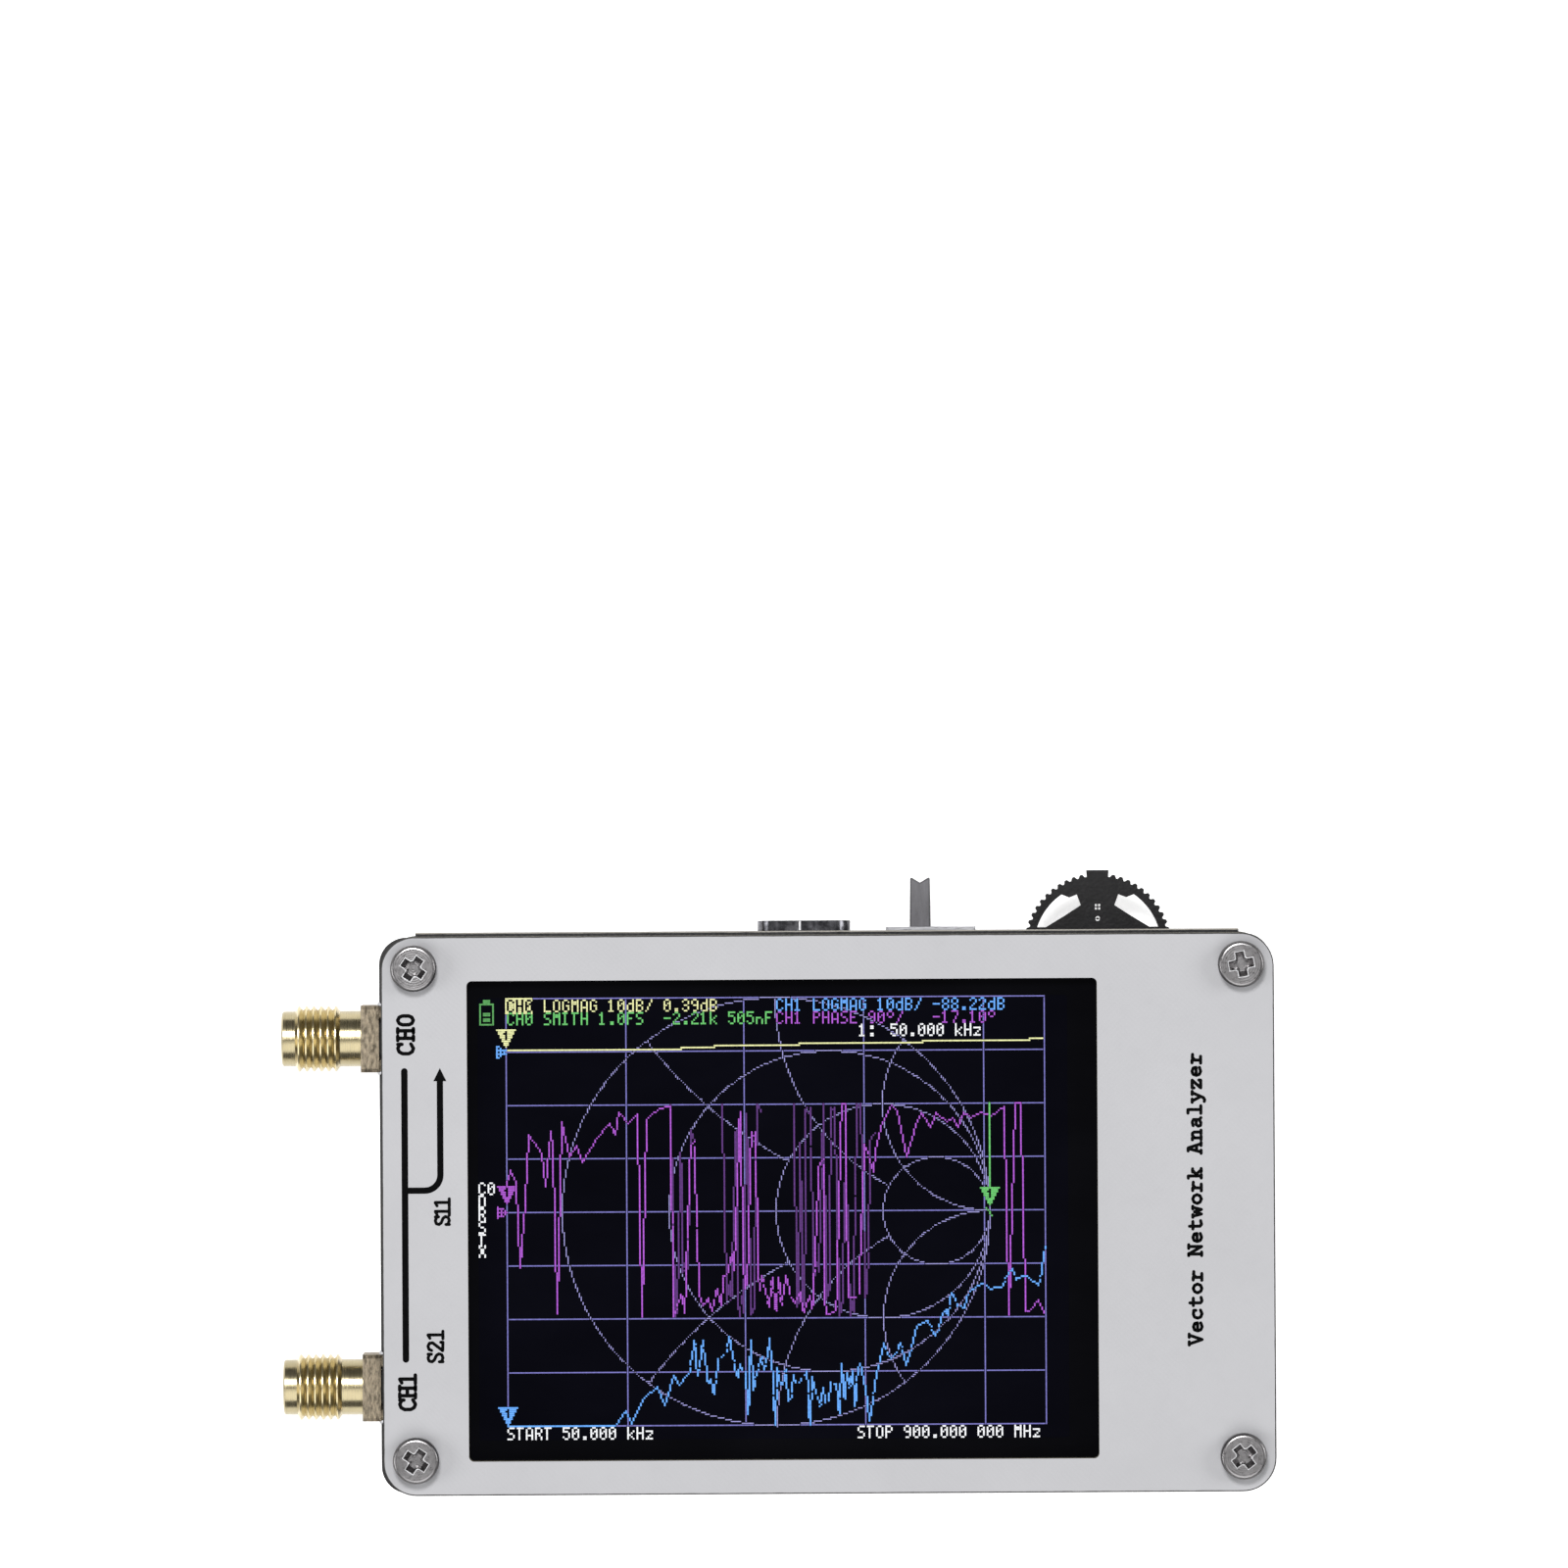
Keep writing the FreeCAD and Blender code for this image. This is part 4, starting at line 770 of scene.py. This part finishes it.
def draw_markers():
    """A flag on each trace, and the two wedges at the left that mark the reference levels."""
    marker(GRID_X0, 26, "log")
    marker(GRID_X0, 111, "phase")
    marker(GRID_X0, FLOOR_Y - 1, "through")
    marker(MARK_X, 113, "chart_trace")
    wedge_x, wedge_long, wedge_half = 9, 6, 3
    for y, colour in ((ROW, "through"), (4 * ROW, "phase")):
        for k in range(wedge_long):
            line(wedge_x + k, y - wedge_half + k / 2, wedge_x + k, y + wedge_half - k / 2, colour)


draw_grid()
draw_smith()
draw_phase()
draw_through()
draw_reflection()
line(MARK_X, PHASE_TOP, MARK_X, 104, "chart_trace")  # upright stretch and short end of the chart's trace
line(MARK_X - 2, 115, MARK_X + 1, 119, "chart_trace")
draw_text()
draw_battery()
draw_markers()

SCREEN_LOOKS = {
    "grid": lit("lit_grid", srgb(118, 115, 192)),
    "chart": lit("lit_chart", srgb(164, 160, 224)),
    "log": lit("lit_yellow", srgb(236, 238, 172), 1.1),
    "phase": lit("lit_magenta", srgb(176, 82, 212), 1.1),
    "phase_dim": lit("lit_violet", srgb(88, 36, 122)),
    "through": lit("lit_blue", srgb(96, 166, 255), 1.15),
    "chart_trace": lit("lit_green", srgb(104, 204, 108)),
    "battery": lit("lit_lime", srgb(84, 164, 84)),
    "text": lit("lit_white", srgb(240, 242, 248), 1.15),
}
GAP = 0.012  # between an element's edge and its lit part, in mm
THIN = {"grid": 0.03, "chart": 0.045, "phase": 0.022, "log": 0.02}  # wider gaps, for fine lines
GLASS_Z = TOUCH[5]
LIT_Z0, LIT_Z1 = GLASS_Z + 0.022, GLASS_Z + 0.034


def screen_pieces():
    """Joins equal neighbouring elements into bars and makes one piece for each colour."""
    left = dict(cells)
    meshes = {colour: bmesh.new() for colour in SCREEN_LOOKS}
    for x, y in sorted(cells, key=lambda p: (p[1], p[0])):
        colour = left.pop((x, y), None)
        if colour is None:
            continue
        x1, y1 = x + 1, y + 1
        while left.get((x1, y)) == colour:
            left.pop((x1, y))
            x1 += 1
        if x1 == x + 1:
            while left.get((x, y1)) == colour:
                left.pop((x, y1))
                y1 += 1
        gap = THIN.get(colour, GAP)
        add_box(meshes[colour], LCD_X0 + x * DOT + gap, LCD_Y1 - y1 * DOT + gap, LIT_Z0,
                LCD_X0 + x1 * DOT - gap, LCD_Y1 - y * DOT - gap, LIT_Z1)
    for colour, bm in meshes.items():
        from_bmesh("screen_" + colour, bm, SCREEN_LOOKS[colour], ROOT)


def screen_field():
    """Dark field behind the picture, in two steps that round its edge."""
    x0, x1 = LCD_X0 + FIRST * DOT, LCD_X0 + (FIRST + LCD_W) * DOT
    y0, y1 = LCD_Y1 - LCD_H * DOT, LCD_Y1
    corner, thick = 0.3, 0.006
    bm = bmesh.new()
    for inset, level in ((0.0, 0.004), (0.08, 0.01)):
        outline = rounded(x0 + inset, y0 + inset, x1 - inset, y1 - inset, corner, 5)
        add_prism(bm, outline, GLASS_Z + level, GLASS_Z + level + thick)
    from_bmesh("screen_field", bm, FIELD, ROOT)


screen_field()
screen_pieces()


# ===== printing on the front panel
INK_Z0, INK_Z1 = Z_FRONT - 0.005, Z_FRONT + 0.012
LAYER, LAYERS = 0.0004, 8  # strokes that cross end at different heights
BAR_X, BAR_HALF, BAR_Y0, BAR_Y1 = -40.54, 0.31, -13.98, 14.22  # the bar between the port labels
STEM_X, STEM_W, BEND_R, HOOK_Y = -37.14, 0.6, 1.5, 2.48  # the arrow that starts on the bar
TIP_Y, HEAD = 14.2, 1.25  # its tip, and the length and width of its head
# Each label: text, baseline, start, height, width, pitch and weight of its letters
LABELS = (
    ("CH0", -39.65, 15.48, 1.5, 1.2, 1.355, 0.35),
    ("CH1", -39.65, -18.58, 1.5, 1.2, 1.2, 0.35),
    ("S11", -36.31, -0.93, 1.34, 1.08, 0.85, 0.3),
    ("S21", -36.99, -14.07, 1.43, 1.08, 1.085, 0.3),
    ("Vector Network Analyzer", 35.69, -12.72, 1.24, 1.06, 1.223, 0.31),
)
# Strokes of a slab-serif face on a grid 4 wide and 6 high
FACE_GRID = (4, 6)
STROKES = {
    "V": [[(0.4, 6), (2, 0), (3.6, 6)], [(0, 6), (1.2, 6)], [(2.8, 6), (4, 6)]],
    "N": [[(0.6, 0), (0.6, 6)], [(0.6, 6), (3.3, 0)], [(3.3, 0), (3.3, 6)], [(0, 0), (1.3, 0)],
          [(0, 6), (0.8, 6)], [(2.6, 6), (4, 6)]],
    "A": [[(0.5, 0), (1.8, 6)], [(2.0, 6), (3.5, 0)], [(1.0, 2.1), (3.0, 2.1)], [(0, 0), (1.2, 0)],
          [(2.8, 0), (4, 0)], [(0.9, 6), (2.0, 6)]],
    "C": [[(3.4, 4.4), (3.4, 6), (3.1, 5.4), (2.1, 6), (1.0, 5.5), (0.4, 4.2), (0.4, 1.8), (1.0, 0.5),
           (2.1, 0), (3.5, 1.0)]],
    "H": [[(0.8, 0), (0.8, 6)], [(3.2, 0), (3.2, 6)], [(0.8, 3.1), (3.2, 3.1)], [(0.1, 0), (1.5, 0)],
          [(2.5, 0), (3.9, 0)], [(0.1, 6), (1.5, 6)], [(2.5, 6), (3.9, 6)]],
    "S": [[(3.3, 4.6), (3.3, 6), (3.0, 5.5), (2.0, 6), (0.9, 5.6), (0.6, 4.4), (1.2, 3.5), (2.8, 2.7),
           (3.4, 1.7), (3.1, 0.5), (2, 0), (0.9, 0.5), (0.6, 0.0), (0.6, 1.5)]],
    "0": [[(2, 6), (1.0, 5.4), (0.6, 4.2), (0.6, 1.8), (1.0, 0.6), (2, 0), (3.0, 0.6), (3.4, 1.8),
           (3.4, 4.2), (3.0, 5.4), (2, 6)]],
    "1": [[(0.9, 5.2), (2.1, 6), (2.1, 0)], [(0.7, 0), (3.4, 0)]],
    "2": [[(0.6, 4.5), (1, 5.6), (2.1, 6), (3.2, 5.4), (3.3, 4.1), (0.5, 0.1), (3.5, 0), (3.5, 0.9)]],
    "e": [[(0.6, 2.1), (3.4, 2.1), (3.2, 3.4), (2, 4), (0.9, 3.5), (0.5, 2), (0.9, 0.6), (2, 0),
           (3.4, 0.6)]],
    "c": [[(3.3, 2.8), (3.3, 3.8), (2, 4), (0.9, 3.5), (0.5, 2), (0.9, 0.6), (2.1, 0), (3.4, 0.7)]],
    "t": [[(1.4, 5.6), (1.4, 0.7), (2.1, 0), (3.4, 0.4)], [(0.4, 4), (3.1, 4)]],
    "o": [[(2, 4), (0.9, 3.4), (0.4, 2), (0.9, 0.6), (2, 0), (3.1, 0.6), (3.6, 2), (3.1, 3.4), (2, 4)]],
    "r": [[(0.4, 4), (1.4, 4), (1.4, 0)], [(1.4, 2.6), (2.3, 3.8), (3.5, 3.7)], [(0.3, 0), (2.8, 0)]],
    "w": [[(0.4, 4), (1.2, 0), (2, 3.2), (2.8, 0), (3.6, 4)], [(0, 4), (1, 4)], [(3, 4), (4, 4)]],
    "k": [[(0.3, 6), (1.1, 6), (1.1, 0)], [(3.1, 4), (1.1, 1.7)], [(1.7, 2.4), (3.3, 0)],
          [(0.3, 0), (1.6, 0)], [(2.5, 4), (3.7, 4)], [(2.6, 0), (3.8, 0)]],
    "n": [[(0.3, 4), (1, 4), (1, 0)], [(1, 3), (1.9, 4), (2.7, 3.9), (3.1, 3.2), (3.1, 0)],
          [(0.3, 0), (1.7, 0)], [(2.4, 0), (3.8, 0)]],
    "a": [[(0.8, 3.6), (2, 4), (3, 3.5), (3, 0.6), (3.7, 0)],
          [(3, 2.2), (1.2, 2.2), (0.6, 1.2), (0.9, 0.2), (1.9, 0), (3, 0.9)]],
    "l": [[(0.7, 6), (2, 6), (2, 0)], [(0.6, 0), (3.4, 0)]],
    "y": [[(0.5, 4), (2, 0.2)], [(3.5, 4), (1.7, -1.2), (0.9, -1.8), (0.3, -1.6)], [(0, 4), (1.2, 4)],
          [(2.8, 4), (4, 4)]],
    "z": [[(0.6, 3.1), (0.6, 4), (3.4, 4), (0.6, 0), (3.4, 0), (3.4, 0.9)]],
}


def upright_text(bm, text, x, y, height, width, pitch, weight):
    """Letters read from bottom to top: x is the baseline at the right, y the start at the bottom."""
    across, up = width / FACE_GRID[0], height / FACE_GRID[1]
    lift = 0
    for index, letter in enumerate(text):
        for stroke in STROKES.get(letter, []):
            points = [(x - py * up, y + index * pitch + px * across) for px, py in stroke]
            shapes = [ribbon(ends, weight) for ends in zip(points, points[1:])]
            for outline in shapes + [disc(px, py, weight / 2, 8) for px, py in points]:
                add_prism(bm, outline, INK_Z0, INK_Z1 + lift * LAYER)
                lift = (lift + 1) % LAYERS


def panel_printing():
    """A bar with round ends, an arrow that bends off it, and the labels."""
    bm = bmesh.new()
    bar = (arc(BAR_X, BAR_Y1 - BAR_HALF, BAR_HALF, 0, 180, 8)
           + arc(BAR_X, BAR_Y0 + BAR_HALF, BAR_HALF, 180, 360, 8))
    bend = arc(STEM_X - BEND_R, HOOK_Y + BEND_R, BEND_R, 0, -90, 10)
    neck = TIP_Y - HEAD
    stem = ribbon([(STEM_X, neck), *bend, (BAR_X, HOOK_Y)], STEM_W)
    head = [(STEM_X, TIP_Y), (STEM_X - HEAD / 2, neck), (STEM_X + HEAD / 2, neck)]
    for layer, outline in enumerate((bar, stem, head)):
        add_prism(bm, outline, INK_Z0, INK_Z1 + layer * LAYER)
    for label in LABELS:
        upright_text(bm, *label)
    from_bmesh("panel_printing", bm, INK, ROOT)


panel_printing()


# ===== small details
def islands(name):
    """Boxes, in millimetres about the panel's middle, of the separate solids in a CAD node."""
    bm = bmesh.new()
    bm.from_mesh(NODES[name].data)
    bmesh.ops.remove_doubles(bm, verts=bm.verts, dist=1e-7)
    todo, boxes = set(bm.verts), []
    while todo:
        stack, found = [todo.pop()], []
        while stack:
            vert = stack.pop()
            found.append(vert.co.copy())
            for edge in vert.link_edges:
                other = edge.other_vert(vert)
                if other in todo:
                    todo.remove(other)
                    stack.append(other)
        corner = []
        for pick in (min, max):
            x, y, z = (pick(co[i] for co in found) for i in range(3))
            corner += [(x - CENTRE_X) / MM, (y - CENTRE_Y) / MM, z / MM]
        boxes.append(tuple(corner))
    bm.free()
    return sorted(boxes)


def add_fillet(bm, x0, y0, x1, y1, z, rise, spread):
    """A collar of solder: wide where it wets the board at z, narrow where it climbs by rise."""
    rings = []
    for share in (0.0, 0.35, 0.7, 1.0):
        grow = spread * (1 - share) ** 2
        level = z + rise * share
        reach = grow + 0.01
        ring = rounded(x0 - reach, y0 - reach, x1 + reach, y1 + reach, grow * 0.7 + 0.01, 3)
        rings.append([bm.verts.new(at(x, y, level)) for x, y in ring])
    bm.faces.new(rings[0][::-1])
    bm.faces.new(rings[-1])
    for low, high in zip(rings, rings[1:]):
        join_rings(bm, low, high)


def end_caps():
    """Tinned ends of the chip capacitors and resistors, wrapped round the body."""
    skin, top = 0.025, BOARD_Z0 - 0.005  # the tin's thickness, and where it stops short of the board
    for node, share, name in (("chip_capacitors", 0.22, "capacitor_ends"),
                              ("chip_resistors", 0.2, "resistor_ends"),
                              ("status_leds", 0.18, "lamp_ends")):
        bm = bmesh.new()
        for x0, y0, z0, x1, y1, _ in islands(node):
            cap = share * max(x1 - x0, y1 - y0)
            if x1 - x0 > y1 - y0:
                ends = ((x0 - skin, y0 - skin, x0 + cap, y1 + skin),
                        (x1 - cap, y0 - skin, x1 + skin, y1 + skin))
            else:
                ends = ((x0 - skin, y0 - skin, x1 + skin, y0 + cap),
                        (x0 - skin, y1 - cap, x1 + skin, y1 + skin))
            for left, low, right, high in ends:
                add_box(bm, left, low, z0 - skin, right, high, top)
        from_bmesh(name, bm, LEAD_TIN, ROOT)


def solder_joints():
    """Collars where the ports, the socket and the switches are soldered down."""
    bm = bmesh.new()
    leg_y, leg_half, pin_half = 2.55, 0.5, 0.3  # a port's legs stand on both sides of its pin
    leg_x0, leg_x1 = BOARD_X0 + 0.35, BOARD_X0 + 4.0
    pin_x0, pin_x1 = BOARD_X0 + 0.5, BOARD_X0 + 3.3
    for port_y in PORT_YS:
        for y in (port_y - leg_y, port_y + leg_y):
            for z, rise in ((BOARD_Z1, 0.75), (BOARD_Z0, -0.75)):
                add_fillet(bm, leg_x0, y - leg_half, leg_x1, y + leg_half, z, rise, 0.55)
        add_fillet(bm, pin_x0, port_y - pin_half, pin_x1, port_y + pin_half, BOARD_Z0, -0.35, 0.3)
    inset = 0.1  # of a collar inside a lead's edges, and of a tab's middle inside the socket's side
    for node in ("jog_terminals", "power_switch_pins"):
        for x0, y0, _, x1, y1, _ in islands(node):
            foot_y = min(y1, y0 + 1.0)
            add_fillet(bm, x0 + inset, y0 + inset, x1 - inset, foot_y - inset, BOARD_Z0, -0.18, 0.3)
    usb = node_mm("usb_shell")
    tab_x, tab_y = 0.12, 0.5  # half the thickness and half the length of a tab
    for x in (usb[0] + inset, usb[3] - inset):
        for y in (usb[1] + 1.2, usb[4] - 3.0):
            add_fillet(bm, x - tab_x, y - tab_y, x + tab_x, y + tab_y, BOARD_Z0, -0.5, 0.4)
    from_bmesh("solder_joints", bm, SOLDER, ROOT, True)


def lead_pads():
    """Tinned pads and a thin wetting of solder under every lead."""
    bm, proud, sunk, rim = bmesh.new(), 0.012, 0.002, 0.05
    for node in ("mcu_leads", "clock_leads", "mixer_leads", "charger_leads"):
        for x0, y0, _, x1, y1, _ in islands(node):
            add_box(bm, x0 - rim, y0 - rim, BOARD_Z0 - proud, x1 + rim, y1 + rim, BOARD_Z0 + sunk)
    from_bmesh("lead_pads", bm, SOLDER, ROOT)


def board_traces():
    """Signal lines from the ports and a fence of vias, standing proud under the solder mask."""
    lines, vias = bmesh.new(), bmesh.new()
    proud, sunk, via_r = 0.03, 0.01, 0.2
    rear = (BOARD_Z0 - proud, BOARD_Z0 + sunk)
    front = (BOARD_Z1 - sunk, BOARD_Z1 + proud)
    fence_x, fence_y, fence_pitch = BOARD_X0 + 0.9, 1.5, 0.9
    for side, port_y in zip((1, -1), PORT_YS):
        run = [(-39.6, port_y), (-36.0, port_y), (-31.5, port_y - side * 3.8)]
        add_prism(lines, ribbon(run, 0.6), *rear)
        for k in range(7):  # two rows of vias beside the line
            for row in (-1.8, 1.8):
                add_prism(vias, disc(-38.2 + k * 0.8, port_y + row, via_r), *rear)
        for k in range(24):  # and one along the edge, clear of the port
            y = side * (fence_y + k * fence_pitch)
            if abs(y - port_y) > 3.4:
                for face in (rear, front):
                    add_prism(vias, disc(fence_x, y, via_r), *face)
    for k in range(7):  # a bus on the rear face
        y = -3.0 + k * 0.5
        run = [(-12.2, y + 11.2), (-8.0, y + 11.2), (-4.0, y + 8.0), (4.0, y + 8.0), (6.0, y + 10.0)]
        add_prism(lines, ribbon(run, 0.18), *rear)
    for k in range(5):  # and one on the front face
        x = 33.6 + k * 0.5
        run = [(x, 12.0 - k), (x, 17.0 + k), (x - 3.0, 20.0 + k * 0.5)]
        add_prism(lines, ribbon(run, 0.16), *front)
    from_bmesh("board_traces", lines, BLACK_MASK, ROOT)
    from_bmesh("board_vias", vias, GOLD, ROOT)


def pin_marks():
    """Moulded dot by the first pin of each package."""
    bm, proud, sunk = bmesh.new(), 0.01, 0.05
    for node in ("mcu_package", "codec_package", "clock_package", "mixer_packages", "charger_package"):
        for x0, _, z0, x1, y1, _ in islands(node):
            inset, r = 0.16 * (x1 - x0), 0.05 * (x1 - x0) + 0.05
            add_prism(bm, disc(x0 + inset, y1 - inset, r), z0 - proud, z0 + sunk)
    from_bmesh("pin_marks", bm, WHITE_NYLON, ROOT)


def wheel_marks():
    """Moulded cross in the wheel's square hole, and a pip on a thin web in its round one."""
    x0, _, z0, x1, y1, z1 = node_mm("jog_wheel")
    middle, square_y, round_y = (x0 + x1) / 2, y1 - 3.54, y1 - 4.67
    half, bar, reach, web, pip = 0.29, 0.05, 0.25, 0.03, 0.1
    bottom = z0 + 0.3
    bm = bmesh.new()
    for dx, dy, y, below in ((half, bar, square_y, 0.1), (bar, half, square_y, 0.12),
                             (reach, web, round_y, 0.5)):
        add_box(bm, middle - dx, y - dy, bottom, middle + dx, y + dy, z1 - below)
    add_prism(bm, disc(middle, round_y, pip, 16), bottom, z1 - 0.2)
    from_bmesh("wheel_marks", bm, WHEEL_PLASTIC, "jog_wheel")


def recess_edges():
    """Painted highlight: a bright steel edge round the cross recess of each front screw."""
    top = node_mm("front_screws")[5]
    half_w, reach, ease, width = 0.47, 1.23, 0.15, 0.075  # of an arm, its round root and the edge
    proud, sunk = 0.003, 0.03
    bm = bmesh.new()
    for sx, sy, turn in ((-1, -1, 57), (-1, 1, 56), (1, -1, 38), (1, 1, 10)):
        rings = []
        for grow in (-width / 2, width / 2):
            w, r = half_w + grow, reach + grow
            ring = []
            for quarter in range(4):
                a = math.radians(90 * quarter + turn)
                for px, py in ((r, -w), (r, w), (w + ease, w), (w, w + ease)):
                    ring.append((sx * SCREW_X + px * math.cos(a) - py * math.sin(a),
                                 SCREW_MID_Y + sy * SCREW_Y + px * math.sin(a) + py * math.cos(a)))
            rings.append(ring)
        inner, outer = rings
        for i in range(len(inner)):
            j = (i + 1) % len(inner)
            add_prism(bm, [inner[i], inner[j], outer[j], outer[i]], top - sunk, top + proud)
    from_bmesh("screw_recess_edges", bm, PAINTED_RECESS_HIGHLIGHT, ROOT)


def socket_seam():
    """Butt seam where the rolled shell of the USB socket closes: a low raised strip in four steps, painted
    bright as the seam's highlight.
    """
    x0, _, _, x1, y1, z1 = node_mm("usb_shell")
    seam, half_w, step, sunk = (x0 + x1) / 2 - 0.4, 0.1, 0.012, 0.02
    bm = bmesh.new()
    for k in range(4):
        half = half_w * math.cos(math.radians(22 * k))
        add_box(bm, seam - half, EDGE_Y + 0.4, z1 - sunk, seam + half, y1 - sunk, z1 + step * (k + 1))
    from_bmesh("usb_seam", bm, PAINTED_SEAM_HIGHLIGHT, ROOT)


end_caps()
solder_joints()
lead_pads()
board_traces()
pin_marks()
wheel_marks()
recess_edges()
socket_seam()


# ===== floor and finish
def new_floor():
    """A large pale square just under the feet."""
    reach, drop = 3.0, 0.00003  # metres
    corners = ((-reach, -reach), (reach, -reach), (reach, reach), (-reach, reach))
    bm = bmesh.new()
    bm.faces.new([bm.verts.new((x, y, -drop)) for x, y in corners])
    mesh = bpy.data.meshes.new("floor")
    bm.to_mesh(mesh)
    bm.free()
    material, tree, bsdf, where = new_material("pale_floor")
    bsdf.inputs["Roughness"].default_value = 0.9
    bsdf.inputs["Emission Color"].default_value = (1, 1, 1, 1)
    bsdf.inputs["Emission Strength"].default_value = 0.6
    tone = ramp(tree, noise(tree, where, 3), (0.93, 0.93, 0.93, 1), (0.96, 0.96, 0.96, 1))
    tree.links.new(tone, bsdf.inputs["Base Color"])
    mesh.materials.append(material)
    obj = bpy.data.objects.new("floor", mesh)
    bpy.context.scene.collection.objects.link(obj)
    return obj


floor = new_floor()
